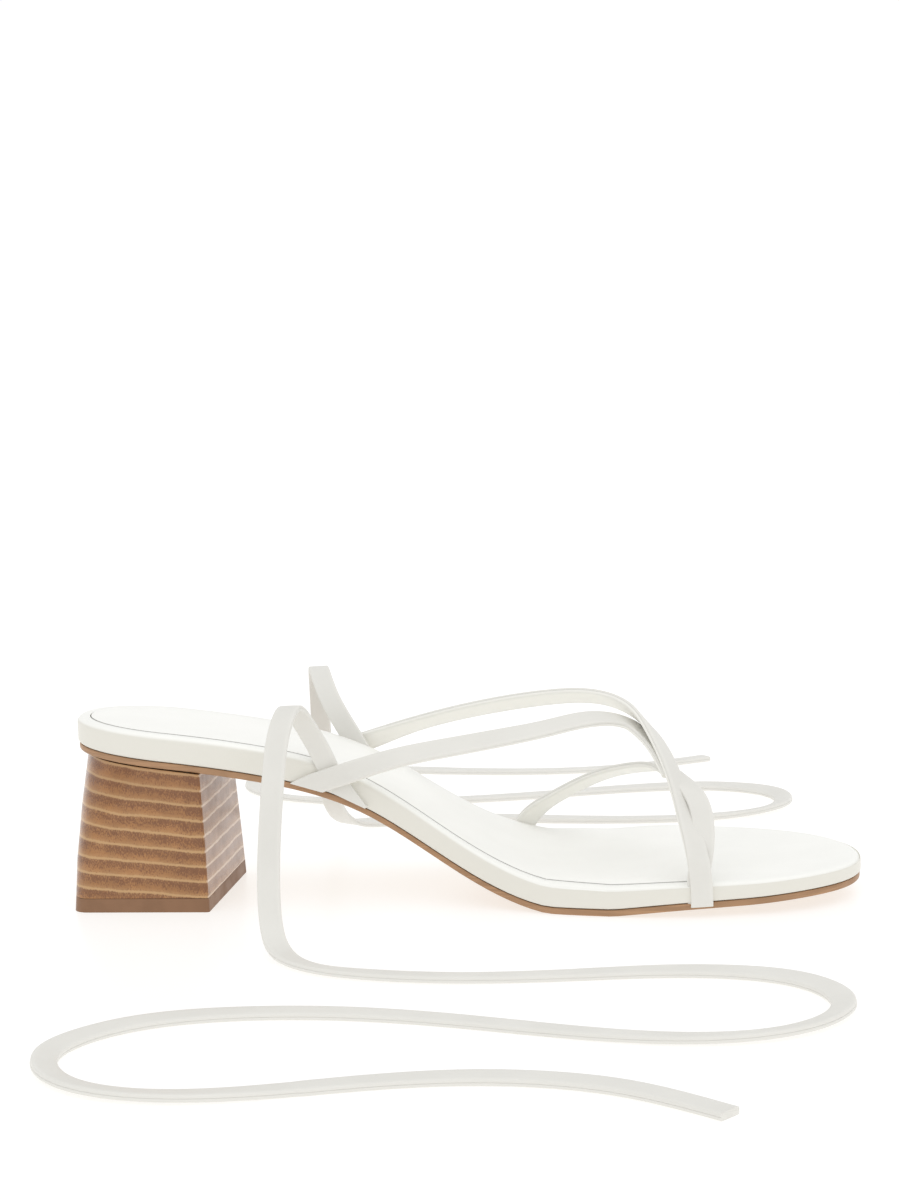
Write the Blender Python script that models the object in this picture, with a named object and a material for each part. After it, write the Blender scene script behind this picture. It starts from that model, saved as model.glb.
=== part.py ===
"""Left lace-up sandal on a flared block heel, standing empty on its sole.

+X runs to the toe, +Y to the outer side of the foot, +Z up, and the floor is at z = 0.
Every piece is laid out from the sole line, which is the underside of the footbed.
"""
import math

import bmesh
import bpy
import numpy as np

# Driving sizes, in metres
LENGTH = 0.240
BALL_WIDTH = 0.086
SEAT_RISE = 0.0499
FOOTBED_THICK = 0.0086
EDGE_ROUND = 0.0028
TOP_DISH = 0.0008
OUTSOLE_THICK = 0.0019
OUTSOLE_SETBACK = 0.0004
SOCK_THICK = 0.0010
SOCK_INSET = 0.0040
SOCK_LENGTH = 0.190
STRAP_WIDTH = 0.0065
STRAP_THICK = 0.0018
STRAP_RISE = 0.0500
STRAP_EASE = 0.0005
HEEL_LENGTH = 0.0428
HEEL_WIDTH = 0.0537
HEEL_BACK = 0.0019
TOP_PIECE_THICK = 0.0042
TIE_WIDTH = 0.0065
TIE_THICK = 0.0018
TIE_CLEARANCE = 0.0006
GAP = 0.0003

# Shares: the outsole's eased edges, the heel's height before it is cut to the seat, the largest
# corner in the heel's depth, and how far the cutting bands run past the sole
OUTSOLE_EASE = 0.2
HEEL_OVERRUN = 1.05
CORNER_LIMIT = 0.9
BAND_OVERRUN = 0.1

# How finely the round forms are cut
STATIONS = 34
CROSS_STEPS = 6
CORNER_STEPS = 6
CURVE_SAMPLES = 600
STRAP_STEP = 0.0042
TIE_STEP = 0.0205
TIE_POCKET_POINTS = 3
TIE_BEVEL_STEPS = 2
ROUND_ANGLE = 40.0
BLOCK_ANGLE = 35.0

# Sole, heel to toe: shares of LENGTH, of BALL_WIDTH twice, of SEAT_RISE and of FOOTBED_THICK
SOLE_COLUMNS = ("along", "centre", "width", "rise", "thick")
SOLE = (
    (0.00, 0.008, 0.623, 1.000, 0.965),
    (0.12, 0.002, 0.618, 0.932, 0.965),
    (0.25, 0.016, 0.602, 0.824, 0.990),
    (0.38, 0.034, 0.590, 0.608, 1.000),
    (0.50, 0.046, 0.692, 0.242, 0.953),
    (0.62, 0.038, 0.931, 0.036, 0.850),
    (0.68, 0.025, 0.985, 0.041, 0.780),
    (0.74, 0.009, 1.008, 0.073, 0.700),
    (0.86, -0.027, 0.898, 0.104, 0.590),
    (0.94, -0.067, 0.805, 0.125, 0.560),
    (1.00, -0.094, 0.768, 0.131, 0.550),
)
# The round ends of the outline: how far each reaches, as a share of LENGTH, and its fullness
HEEL_END = (0.13, 2.1, 2.0)
TOE_END = (0.16, 2.3, 2.1)

# Side of the footbed, from below: inset in shares of EDGE_ROUND, height in shares of its thickness
FOOTBED_EDGE = (
    (0.45, 0.00),
    (0.06, 0.08),
    (0.00, 0.34),
    (0.06, 0.62),
    (0.30, 0.86),
    (0.62, 0.97),
    (1.00, 1.00),
)

# Heel block, from the floor up: height in shares of SEAT_RISE, rear and breast in shares of
# HEEL_LENGTH, width, corner and place across in shares of HEEL_WIDTH, and its turn in degrees
HEEL_COLUMNS = ("height", "rear", "breast", "width", "corner", "across", "turn")
HEEL = (
    (0.00, 0.000, 1.000, 1.000, 0.09, 0.030, -3.2),
    (0.30, 0.003, 0.986, 0.990, 0.17, 0.024, -2.7),
    (0.60, 0.016, 0.970, 0.980, 0.30, 0.017, -2.1),
    (1.06, 0.055, 0.940, 0.966, 0.52, 0.008, -1.3),
)

# Strap routes: along in shares of LENGTH, across in shares of the sole's half width from its
# middle, with the inner side negative, height over the sole line in shares of STRAP_RISE, and
# how far the upper face leans from the vertical, in degrees to the outer side
STRAP_COLUMNS = ("along", "across", "height", "lean")
CROSS_STRAP = (
    (0.282, 1.000, -0.100, 88.0),
    (0.312, 1.025, 0.010, 87.0),
    (0.340, 1.078, 0.105, 82.0),
    (0.370, 1.085, 0.216, 66.0),
    (0.412, 0.950, 0.406, 47.0),
    (0.477, 0.669, 0.708, 42.0),
    (0.545, 0.427, 0.959, 45.0),
    (0.612, 0.221, 1.104, 46.0),
    (0.677, 0.038, 1.121, 46.0),
    (0.715, -0.103, 1.050, 44.0),
    (0.741, -0.266, 0.920, 33.0),
    (0.766, -0.530, 0.690, 29.0),
    (0.7835, -0.815, 0.420, 18.0),
    (0.793, -0.985, 0.205, -35.0),
    (0.795, -1.000, 0.100, -88.0),
    (0.795, -1.000, -0.060, -90.0),
)
ARCH_STRAP = (
    (0.282, -1.000, -0.100, -90.0),
    (0.312, -1.030, 0.010, -88.0),
    (0.340, -1.085, 0.105, -84.0),
    (0.370, -1.135, 0.216, -68.0),
    (0.428, -1.083, 0.455, -48.0),
    (0.490, -0.930, 0.698, -42.0),
    (0.552, -0.713, 0.891, -37.0),
    (0.614, -0.483, 1.005, -31.0),
    (0.677, -0.260, 1.030, -26.0),
    (0.714, -0.172, 0.965, -8.0),
    (0.740, -0.266, 0.850, 20.0),
    (0.764, -0.520, 0.675, 28.0),
)
TOE_STRAP = (
    (0.556, 1.000, -0.060, 90.0),
    (0.564, 1.010, 0.090, 80.0),
    (0.585, 0.913, 0.260, 44.0),
    (0.618, 0.774, 0.397, 30.0),
    (0.673, 0.505, 0.557, 28.0),
    (0.713, 0.244, 0.629, 34.0),
    (0.751, -0.125, 0.674, 40.0),
    (0.772, -0.478, 0.655, 12.0),
    (0.794, -0.690, 0.545, -36.0),
    (0.800, -0.830, 0.390, -66.0),
    (0.796, -0.925, 0.240, -78.0),
    (0.792, -0.960, 0.140, -86.0),
    (0.792, -0.968, -0.060, -90.0),
)

# Tie routes: a place in metres and the way that the upper face looks there, each as x, y, z
INNER_TIE = (
    (0.0843, -0.0219, 0.0364, 0.0, 1.0, 0.0),
    (0.0821, -0.0219, 0.0398, 0.0, 1.0, 0.0),
    (0.0784, -0.0222, 0.0480, 0.0, 1.0, 0.1),
    (0.0750, -0.0243, 0.0552, 0.0, 1.0, 0.5),
    (0.0726, -0.0310, 0.0615, 0.0, 0.7, 1.0),
    (0.0715, -0.0400, 0.0632, 0.0, 0.0, 1.0),
    (0.0700, -0.0487, 0.0578, 0.0, -1.0, 0.9),
    (0.0690, -0.0555, 0.0470, 0.0, -1.0, 0.5),
    (0.0683, -0.0605, 0.0345, 0.0, -1.0, 0.4),
    (0.0680, -0.0655, 0.0215, 0.0, -1.0, 0.5),
    (0.0690, -0.0725, 0.0105, 0.0, -0.7, 1.0),
    (0.0722, -0.0820, 0.0035, 0.0, -0.2, 1.0),
    (0.0795, -0.0920, 0.0011, 0.0, 0.0, 1.0),
    (0.0950, -0.1010, 0.0010, 0.0, 0.0, 1.0),
    (0.1250, -0.1065, 0.0010, 0.0, 0.0, 1.0),
    (0.1580, -0.1045, 0.0010, 0.0, 0.0, 1.0),
    (0.1900, -0.1040, 0.0010, 0.0, 0.0, 1.0),
    (0.2150, -0.1160, 0.0010, 0.0, 0.0, 1.0),
    (0.2220, -0.1390, 0.0010, 0.0, 0.0, 1.0),
    (0.2070, -0.1580, 0.0010, 0.0, 0.0, 1.0),
    (0.1800, -0.1620, 0.0010, 0.0, 0.0, 1.0),
    (0.1450, -0.1520, 0.0010, 0.0, 0.0, 1.0),
    (0.1080, -0.1400, 0.0010, 0.0, 0.0, 1.0),
    (0.0710, -0.1370, 0.0010, 0.0, 0.0, 1.0),
    (0.0410, -0.1480, 0.0010, 0.0, 0.0, 1.0),
    (0.0290, -0.1700, 0.0010, 0.0, 0.0, 1.0),
    (0.0390, -0.1920, 0.0010, 0.0, 0.0, 1.0),
    (0.0650, -0.2010, 0.0010, 0.0, 0.0, 1.0),
    (0.0980, -0.1950, 0.0010, 0.0, 0.0, 1.0),
    (0.1340, -0.1900, 0.0010, 0.0, 0.0, 1.0),
    (0.1660, -0.1980, 0.0010, 0.0, 0.0, 1.0),
    (0.1900, -0.2160, 0.0010, 0.0, 0.0, 1.0),
)
OUTER_TIE = (
    (0.0857, 0.0264, 0.0377, 0.0, -1.0, 0.0),
    (0.0838, 0.0264, 0.0412, 0.0, -1.0, 0.0),
    (0.0795, 0.0266, 0.0487, 0.0, -1.0, 0.1),
    (0.0755, 0.0286, 0.0558, 0.0, -1.0, 0.5),
    (0.0722, 0.0352, 0.0620, 0.0, -0.7, 1.0),
    (0.0700, 0.0442, 0.0636, 0.0, 0.0, 1.0),
    (0.0688, 0.0529, 0.0580, 0.0, 1.0, 0.9),
    (0.0680, 0.0597, 0.0470, 0.0, 1.0, 0.5),
    (0.0677, 0.0647, 0.0345, 0.0, 1.0, 0.4),
    (0.0680, 0.0697, 0.0215, 0.0, 1.0, 0.5),
    (0.0695, 0.0767, 0.0105, 0.0, 0.7, 1.0),
    (0.0735, 0.0855, 0.0035, 0.0, 0.2, 1.0),
    (0.0830, 0.0940, 0.0011, 0.0, 0.0, 1.0),
    (0.1010, 0.0990, 0.0010, 0.0, 0.0, 1.0),
    (0.1330, 0.0975, 0.0010, 0.0, 0.0, 1.0),
    (0.1680, 0.0920, 0.0010, 0.0, 0.0, 1.0),
    (0.2000, 0.0940, 0.0010, 0.0, 0.0, 1.0),
    (0.2230, 0.1080, 0.0010, 0.0, 0.0, 1.0),
    (0.2240, 0.1310, 0.0010, 0.0, 0.0, 1.0),
    (0.2050, 0.1470, 0.0010, 0.0, 0.0, 1.0),
    (0.1730, 0.1480, 0.0010, 0.0, 0.0, 1.0),
    (0.1370, 0.1390, 0.0010, 0.0, 0.0, 1.0),
    (0.1000, 0.1320, 0.0010, 0.0, 0.0, 1.0),
    (0.0630, 0.1350, 0.0010, 0.0, 0.0, 1.0),
    (0.0350, 0.1490, 0.0010, 0.0, 0.0, 1.0),
    (0.0270, 0.1720, 0.0010, 0.0, 0.0, 1.0),
    (0.0430, 0.1910, 0.0010, 0.0, 0.0, 1.0),
    (0.0740, 0.1960, 0.0010, 0.0, 0.0, 1.0),
    (0.1110, 0.1890, 0.0010, 0.0, 0.0, 1.0),
    (0.1480, 0.1860, 0.0010, 0.0, 0.0, 1.0),
    (0.1800, 0.1950, 0.0010, 0.0, 0.0, 1.0),
    (0.2020, 0.2080, 0.0010, 0.0, 0.0, 1.0),
)

# Finishes: colour and roughness
WHITE_LEATHER = ((0.80, 0.78, 0.73, 1.0), 0.42)
SOCK_LEATHER = ((0.86, 0.85, 0.81, 1.0), 0.50)
SOLE_BROWN = ((0.36, 0.18, 0.085, 1.0), 0.50)
STACK_BROWN = ((0.33, 0.17, 0.075, 1.0), 0.55)
TIP_BROWN = ((0.25, 0.125, 0.065, 1.0), 0.50)


def clear_scene():
    for old in list(bpy.data.objects):
        bpy.data.objects.remove(old, do_unlink=True)


def new_collection(name):
    collection = bpy.data.collections.new(name)
    bpy.context.scene.collection.children.link(collection)
    return collection


def material(name, colour, roughness):
    made = bpy.data.materials.new(name)
    made.use_nodes = True
    shader = made.node_tree.nodes["Principled BSDF"]
    shader.inputs["Base Color"].default_value = colour
    shader.inputs["Roughness"].default_value = roughness
    shader.inputs["Metallic"].default_value = 0.0
    return made


def spline(knots, values, at):
    """Natural cubic curve through the knots, read at the given places."""
    knots = np.asarray(knots, dtype=float)
    values = np.asarray(values, dtype=float)
    steps = np.diff(knots)
    count = len(knots)
    matrix = np.eye(count)
    right = np.zeros(count)
    for row in range(1, count - 1):
        left, ahead = steps[row - 1], steps[row]
        matrix[row, row - 1:row + 2] = left, 2.0 * (left + ahead), ahead
        right[row] = 6.0 * ((values[row + 1] - values[row]) / ahead
                            - (values[row] - values[row - 1]) / left)
    bend = np.linalg.solve(matrix, right)
    span = np.clip(np.searchsorted(knots, at) - 1, 0, count - 2)
    width = steps[span]
    before = knots[span + 1] - at
    after = at - knots[span]
    cubic = (bend[span] * before ** 3 + bend[span + 1] * after ** 3) / (6.0 * width)
    low = (values[span] / width - bend[span] * width / 6.0) * before
    high = (values[span + 1] / width - bend[span + 1] * width / 6.0) * after
    return cubic + low + high


def column(table, names, name):
    return np.array(table)[:, names.index(name)]


def sole_column(name, x):
    """One column of the sole's table at the distance x from the back of the heel."""
    along = np.clip(np.asarray(x, dtype=float) / LENGTH, 0.0, 1.0)
    return spline(column(SOLE, SOLE_COLUMNS, "along"), column(SOLE, SOLE_COLUMNS, name), along)


def sole_line(x):
    """Height of the underside of the footbed, which is level where the ball stands."""
    return np.maximum(sole_column("rise", x) * SEAT_RISE, OUTSOLE_THICK + GAP)


def sole_centre(x):
    return sole_column("centre", x) * BALL_WIDTH


def sole_half(x):
    return sole_column("width", x) * BALL_WIDTH / 2.0


def footbed_thickness(x):
    return sole_column("thick", x) * FOOTBED_THICK


def end_factor(x):
    """Takes the outline in to nothing at the round heel end and the squarer toe."""
    along = np.clip(np.asarray(x, dtype=float) / LENGTH, 0.0, 1.0)
    factor = np.ones_like(along)
    for (reach, full, root), place in ((HEEL_END, along), (TOE_END, 1.0 - along)):
        short = np.clip(1.0 - place / reach, 0.0, 1.0)
        factor = factor * np.clip(1.0 - short ** full, 0.0, 1.0) ** (1.0 / root)
    return factor


def outline():
    """The sole's outline as a closed loop: the inner side to the toe, and the outer side back."""
    turn = np.linspace(0.0, math.pi, STATIONS + 1)
    x = LENGTH * (1.0 - np.cos(turn)) / 2.0
    half = sole_half(x) * end_factor(x)
    inner = np.stack([x, sole_centre(x) - half], axis=1)
    outer = np.stack([x, sole_centre(x) + half], axis=1)
    return np.concatenate([inner, outer[-2:0:-1]])


def inset_outline(inset):
    """The outline moved inwards, square to itself."""
    loop = outline()
    ahead = np.roll(loop, -1, axis=0) - np.roll(loop, 1, axis=0)
    ahead = ahead / np.linalg.norm(ahead, axis=1)[:, None]
    inward = np.stack([-ahead[:, 1], ahead[:, 0]], axis=1)
    return loop + np.asarray(inset) * inward


def new_object(name, mesh, collection, finish):
    made = bpy.data.objects.new(name, mesh)
    collection.objects.link(made)
    if finish is not None:
        mesh.materials.append(finish)
    return made


def smooth(piece, degrees):
    mesh = piece.data
    mesh.shade_smooth()
    mesh.set_sharp_from_angle(angle=math.radians(degrees))


def mesh_from(name, points, faces):
    mesh = bpy.data.meshes.new(name)
    mesh.from_pydata([tuple(map(float, point)) for point in points], [], faces)
    shape = bmesh.new()
    shape.from_mesh(mesh)
    bmesh.ops.remove_doubles(shape, verts=shape.verts, dist=1e-6)
    bmesh.ops.recalc_face_normals(shape, faces=shape.faces)
    shape.to_mesh(mesh)
    shape.free()
    return mesh


def plate_mesh(name, rows, low_dish, top_dish):
    """A plate with the sole's outline: rows of (inset, height over the sole line at x)."""
    points = []
    faces = []
    count = 2 * STATIONS
    for inset, height in rows:
        ring = inset_outline(inset)
        for x, y in ring:
            points.append((x, y, sole_line(x) + height(x)))
    for row in range(len(rows) - 1):
        for place in range(count):
            following = (place + 1) % count
            low = row * count
            high = low + count
            faces.append((low + place, low + following, high + following, high + place))
    close_plate(points, faces, 0, rows[0][1], low_dish)
    close_plate(points, faces, (len(rows) - 1) * count, rows[-1][1], top_dish)
    return mesh_from(name, points, faces)


def close_plate(points, faces, start, height, depth):
    """Closes one face of a plate with rows that run across from side to side."""
    count = 2 * STATIONS
    rows = []
    for station in range(1, STATIONS):
        inner = start + station
        outer = start + count - station
        row = [inner]
        for step in range(1, CROSS_STEPS):
            share = step / CROSS_STEPS
            x, y = ((1.0 - share) * np.array(points[inner][:2])
                    + share * np.array(points[outer][:2]))
            bowl = 1.0 - (2.0 * share - 1.0) ** 2
            points.append((x, y, sole_line(x) + height(x) - depth * bowl * float(end_factor(x))))
            row.append(len(points) - 1)
        row.append(outer)
        rows.append(row)
    for row, ahead in zip(rows, rows[1:]):
        for step in range(CROSS_STEPS):
            faces.append((row[step], row[step + 1], ahead[step + 1], ahead[step]))
    for tip, row in ((start, rows[0]), (start + STATIONS, rows[-1])):
        for step in range(CROSS_STEPS):
            faces.append((tip, row[step], row[step + 1]))


def level(height):
    """A height over the sole line that is the same all along."""
    return lambda x: height


def thickness_share(share):
    """A height over the sole line in shares of the footbed's thickness."""
    return lambda x: share * footbed_thickness(x)


def footbed_mesh(name):
    rows = [(inset * EDGE_ROUND, thickness_share(height)) for inset, height in FOOTBED_EDGE]
    return plate_mesh(name, rows, 0.0, TOP_DISH)


def outsole_mesh(name):
    low = -GAP - OUTSOLE_THICK
    soft = OUTSOLE_THICK * OUTSOLE_EASE
    rows = [
        (OUTSOLE_SETBACK + soft, level(low)),
        (OUTSOLE_SETBACK, level(low + soft)),
        (OUTSOLE_SETBACK, level(-GAP - soft)),
        (OUTSOLE_SETBACK + soft, level(-GAP)),
    ]
    return plate_mesh(name, rows, 0.0, 0.0)


def sock_mesh(name, inset, below, above):
    """The insole lining's plate, from below to above its seat, measured from the footbed's top."""
    rows = [
        (inset, lambda x: footbed_thickness(x) - below),
        (inset, lambda x: footbed_thickness(x) + above),
    ]
    return plate_mesh(name, rows, TOP_DISH, TOP_DISH)


def sole_band(name, low, high, half_width):
    """A slab as wide as asked, between two heights that follow the sole line."""
    margin = LENGTH * BAND_OVERRUN
    points = []
    faces = []
    places = np.linspace(-margin, LENGTH + margin, 3 * STATIONS)
    for x in places:
        base = float(sole_line(x))
        for y, lift in ((-half_width, low), (half_width, low), (half_width, high), (-half_width, high)):
            points.append((x, y, base + lift))
    for place in range(len(places) - 1):
        first = 4 * place
        for side in range(4):
            after = (side + 1) % 4
            faces.append((first + side, first + after, first + 4 + after, first + 4 + side))
    faces.append((0, 1, 2, 3))
    last = 4 * (len(places) - 1)
    faces.append((last + 3, last + 2, last + 1, last))
    return mesh_from(name, points, faces)


def strap_points(route):
    """The route's own points in metres, from its shares, and their lean in degrees."""
    x = column(route, STRAP_COLUMNS, "along") * LENGTH
    y = sole_centre(x) + column(route, STRAP_COLUMNS, "across") * sole_half(x)
    z = sole_line(x) + column(route, STRAP_COLUMNS, "height") * STRAP_RISE
    return np.stack([x, y, z, column(route, STRAP_COLUMNS, "lean")], axis=1)


def smooth_route(points, step):
    """A smooth curve through the points, read at even steps."""
    points = np.asarray(points, dtype=float)
    chords = np.linalg.norm(np.diff(points[:, :3], axis=0), axis=1)
    knots = np.concatenate([[0.0], np.cumsum(chords)])
    fine = np.linspace(0.0, knots[-1], CURVE_SAMPLES)
    curve = np.stack([spline(knots, values, fine) for values in points.T], axis=1)
    pieces = np.linalg.norm(np.diff(curve[:, :3], axis=0), axis=1)
    walked = np.concatenate([[0.0], np.cumsum(pieces)])
    even = np.linspace(0.0, walked[-1], int(round(walked[-1] / step)) + 1)
    return np.stack([np.interp(even, walked, values) for values in curve.T], axis=1)


def directions(path):
    along = np.gradient(path, axis=0)
    return along / np.linalg.norm(along, axis=1)[:, None]


def strap_faces(path):
    """The way the strap's upper face looks, from the route's lean."""
    lean = np.radians(path[:, 3])
    return np.stack([np.zeros_like(lean), np.sin(lean), np.cos(lean)], axis=1)


def band_mesh(name, path, faces_to, width, thick, ease):
    """A band of even width and thickness along the path, with its long edges eased."""
    ahead = directions(path)
    face = faces_to - np.sum(faces_to * ahead, axis=1)[:, None] * ahead
    face = face / np.linalg.norm(face, axis=1)[:, None]
    side = np.cross(ahead, face)
    w = width / 2.0
    t = thick / 2.0
    section = ((-w, t - ease), (-w + ease, t), (w - ease, t), (w, t - ease),
               (w, ease - t), (w - ease, -t), (ease - w, -t), (-w, ease - t))
    points = []
    faces = []
    count = len(section)
    for place in range(len(path)):
        for across, up in section:
            points.append(path[place] + across * side[place] + up * face[place])
    for place in range(len(path) - 1):
        first = count * place
        for corner in range(count):
            after = (corner + 1) % count
            faces.append((first + corner, first + after, first + count + after, first + count + corner))
    faces.append(tuple(range(count)))
    last = count * (len(path) - 1)
    faces.append(tuple(last + corner for corner in reversed(range(count))))
    return mesh_from(name, points, faces)


def strap_mesh(name, route, spare):
    """A strap with some spare round it, which is nothing for the strap itself."""
    path = smooth_route(strap_points(route), STRAP_STEP)
    return band_mesh(name, path[:, :3], strap_faces(path), STRAP_WIDTH + 2.0 * spare,
                     STRAP_THICK + 2.0 * spare, STRAP_EASE)


def tie_mesh(name, route, spare):
    """The start of a tie with some spare round it, for the pocket that it stands in."""
    path = smooth_route(np.array(route), TIE_STEP)[:TIE_POCKET_POINTS]
    return band_mesh(name, path[:, :3], path[:, 3:], TIE_WIDTH + 2.0 * spare,
                     TIE_THICK + 2.0 * spare, STRAP_EASE)


def add_cut(piece, cutter, kind):
    change = piece.modifiers.new(kind.lower() + " " + cutter.name, "BOOLEAN")
    change.operation = kind
    change.solver = "EXACT"
    change.object = cutter


def cutter_object(name, mesh, collection):
    made = new_object(name, mesh, collection, None)
    made.hide_render = True
    made.display_type = "WIRE"
    return made


def box_mesh(name, low, high):
    shape = bmesh.new()
    bmesh.ops.create_cube(shape, size=1.0)
    low = np.array(low)
    high = np.array(high)
    for vertex in shape.verts:
        vertex.co = (low + high) / 2.0 + (high - low) * np.array(vertex.co)
    mesh = bpy.data.meshes.new(name)
    shape.to_mesh(mesh)
    shape.free()
    return mesh


def heel_section(height):
    """The heel's plan at a height: straight breast, round back corners. A list of (x, y)."""
    heights = column(HEEL, HEEL_COLUMNS, "height")
    rear, breast, width, corner, middle_y, turned = (
        float(np.interp(height / SEAT_RISE, heights, column(HEEL, HEEL_COLUMNS, name)))
        for name in HEEL_COLUMNS[1:])
    rear = HEEL_BACK + rear * HEEL_LENGTH
    breast = HEEL_BACK + breast * HEEL_LENGTH
    half = width * HEEL_WIDTH / 2.0
    middle_y = middle_y * HEEL_WIDTH
    corner = min(corner * HEEL_WIDTH, half, (breast - rear) * CORNER_LIMIT)
    points = [(breast, -half)]
    for side, turns in ((-1.0, range(CORNER_STEPS + 1)), (1.0, range(CORNER_STEPS, -1, -1))):
        for turn in turns:
            angle = math.pi / 2.0 * turn / CORNER_STEPS
            points.append((rear + corner * (1.0 - math.sin(angle)),
                           side * (half - corner + corner * math.cos(angle))))
    points.append((breast, half))
    middle = HEEL_BACK + HEEL_LENGTH / 2.0
    across = math.cos(math.radians(turned))
    along = math.sin(math.radians(turned))
    return [(middle + (x - middle) * across - y * along, middle_y + (x - middle) * along + y * across)
            for x, y in points]


def heel_mesh(name, bottom, top):
    """The heel between two heights, lofted through the rows of its table."""
    middle = [row[0] * SEAT_RISE for row in HEEL if bottom < row[0] * SEAT_RISE < top]
    heights = [bottom] + middle + [top]
    points = []
    faces = []
    for height in heights:
        points.extend((x, y, height) for x, y in heel_section(height))
    count = len(heel_section(bottom))
    for place in range(len(heights) - 1):
        first = count * place
        for corner in range(count):
            after = (corner + 1) % count
            faces.append((first + corner, first + after, first + count + after, first + count + corner))
    faces.append(tuple(range(count)))
    last = count * (len(heights) - 1)
    faces.append(tuple(last + corner for corner in reversed(range(count))))
    return mesh_from(name, points, faces)


def tie_curve(name, route, collection, finish):
    """A flat tie as a curve whose every point is turned so that its face looks as the route says."""
    path = smooth_route(np.array(route), TIE_STEP)
    points = path[:, :3]
    wanted = path[:, 3:]
    curve = bpy.data.curves.new(name, "CURVE")
    curve.dimensions = "3D"
    curve.twist_mode = "Z_UP"
    curve.extrude = (TIE_WIDTH - TIE_THICK) / 2.0
    curve.bevel_depth = TIE_THICK / 2.0
    curve.bevel_resolution = TIE_BEVEL_STEPS
    curve.use_fill_caps = True
    line = curve.splines.new("POLY")
    line.points.add(len(points) - 1)
    ahead = directions(points)
    for place, point in enumerate(line.points):
        point.co = (*points[place], 1.0)
        point.tilt = tie_turn(ahead[place], wanted[place])
    made = bpy.data.objects.new(name, curve)
    collection.objects.link(made)
    curve.materials.append(finish)
    return made


def tie_turn(ahead, wanted):
    """How far a band that stands on edge is turned about its run to face the wanted way."""
    up = np.array((0.0, 0.0, 1.0))
    standing = up - np.dot(up, ahead) * ahead
    standing = standing / np.linalg.norm(standing)
    level_side = np.cross(ahead, standing)
    face = wanted - np.dot(wanted, ahead) * ahead
    across = np.cross(ahead, face)
    return math.atan2(np.dot(across, level_side), np.dot(across, standing))


def place_origin(origin, pieces):
    """Moves the shoe so that the world's origin lies under the middle of its box."""
    bpy.context.view_layer.update()
    graph = bpy.context.evaluated_depsgraph_get()
    corners = []
    for piece in pieces:
        corners.extend(np.array(corner) for corner in piece.evaluated_get(graph).bound_box)
    low = np.min(corners, axis=0)
    high = np.max(corners, axis=0)
    origin.location = (-(low[0] + high[0]) / 2.0, -(low[1] + high[1]) / 2.0, 0.0)


def build():
    clear_scene()
    parts = new_collection("lace_up_sandal")
    cutters = new_collection("cutters")
    leather = material("white leather", *WHITE_LEATHER)
    lining = material("sock leather", *SOCK_LEATHER)
    sole = material("sole brown", *SOLE_BROWN)
    stack = material("stacked heel", *STACK_BROWN)
    tip = material("heel tip", *TIP_BROWN)

    outsole = new_object("outsole", outsole_mesh("outsole"), parts, sole)
    smooth(outsole, ROUND_ANGLE)

    wide = BALL_WIDTH
    below = -2.0 * GAP - OUTSOLE_THICK
    seat = cutter_object("seat_cutter", sole_band("seat_cutter", below, SEAT_RISE, wide), cutters)
    block = new_object("heel_block", heel_mesh("heel_block", TOP_PIECE_THICK + GAP,
                                               SEAT_RISE * HEEL_OVERRUN), parts, stack)
    add_cut(block, seat, "DIFFERENCE")
    smooth(block, BLOCK_ANGLE)
    top_piece = new_object("top_piece", heel_mesh("top_piece", 0.0, TOP_PIECE_THICK), parts, tip)
    smooth(top_piece, BLOCK_ANGLE)

    footbed = new_object("footbed", footbed_mesh("footbed"), parts, leather)
    recess = cutter_object("sock_recess", sock_mesh("sock_recess", SOCK_INSET, SOCK_THICK + GAP,
                                                    SOCK_THICK), cutters)
    toe_side = LENGTH + SEAT_RISE
    recess_end = cutter_object("recess_end", box_mesh(
        "recess_end", (SOCK_LENGTH + GAP, -wide, -SEAT_RISE), (toe_side, wide, toe_side)), cutters)
    add_cut(recess, recess_end, "DIFFERENCE")
    add_cut(footbed, recess, "DIFFERENCE")
    for name, route in (("cross", CROSS_STRAP), ("arch", ARCH_STRAP), ("toe", TOE_STRAP)):
        pocket = cutter_object(name + "_pocket", strap_mesh(name + "_pocket", route, GAP), cutters)
        add_cut(footbed, pocket, "DIFFERENCE")
    for name, route in (("inner", INNER_TIE), ("outer", OUTER_TIE)):
        pocket = cutter_object(name + "_tie_pocket",
                               tie_mesh(name + "_tie_pocket", route, TIE_CLEARANCE), cutters)
        add_cut(footbed, pocket, "DIFFERENCE")
    smooth(footbed, ROUND_ANGLE)

    sock = new_object("insole_sock", sock_mesh("insole_sock", SOCK_INSET + GAP, SOCK_THICK, 0.0),
                      parts, lining)
    sock_end = cutter_object("sock_end", box_mesh(
        "sock_end", (SOCK_LENGTH, -wide, -SEAT_RISE), (toe_side, wide, toe_side)), cutters)
    add_cut(sock, sock_end, "DIFFERENCE")
    smooth(sock, ROUND_ANGLE)

    upper = new_object("upper_straps", strap_mesh("upper_straps", CROSS_STRAP, 0.0), parts, leather)
    for name, route in (("arch", ARCH_STRAP), ("toe", TOE_STRAP)):
        strap = cutter_object(name + "_strap", strap_mesh(name + "_strap", route, 0.0), cutters)
        add_cut(upper, strap, "UNION")
    trim = cutter_object("strap_trim", sole_band("strap_trim", -SEAT_RISE, 0.0, wide), cutters)
    add_cut(upper, trim, "DIFFERENCE")
    smooth(upper, ROUND_ANGLE)

    shoe = list(parts.objects)
    tie_curve("tie_inner", INNER_TIE, parts, leather)
    tie_curve("tie_outer", OUTER_TIE, parts, leather)

    origin = bpy.data.objects.new("shoe_origin", None)
    bpy.context.scene.collection.objects.link(origin)
    for piece in list(parts.objects) + list(cutters.objects):
        piece.parent = origin
    place_origin(origin, shoe)


build()
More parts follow.
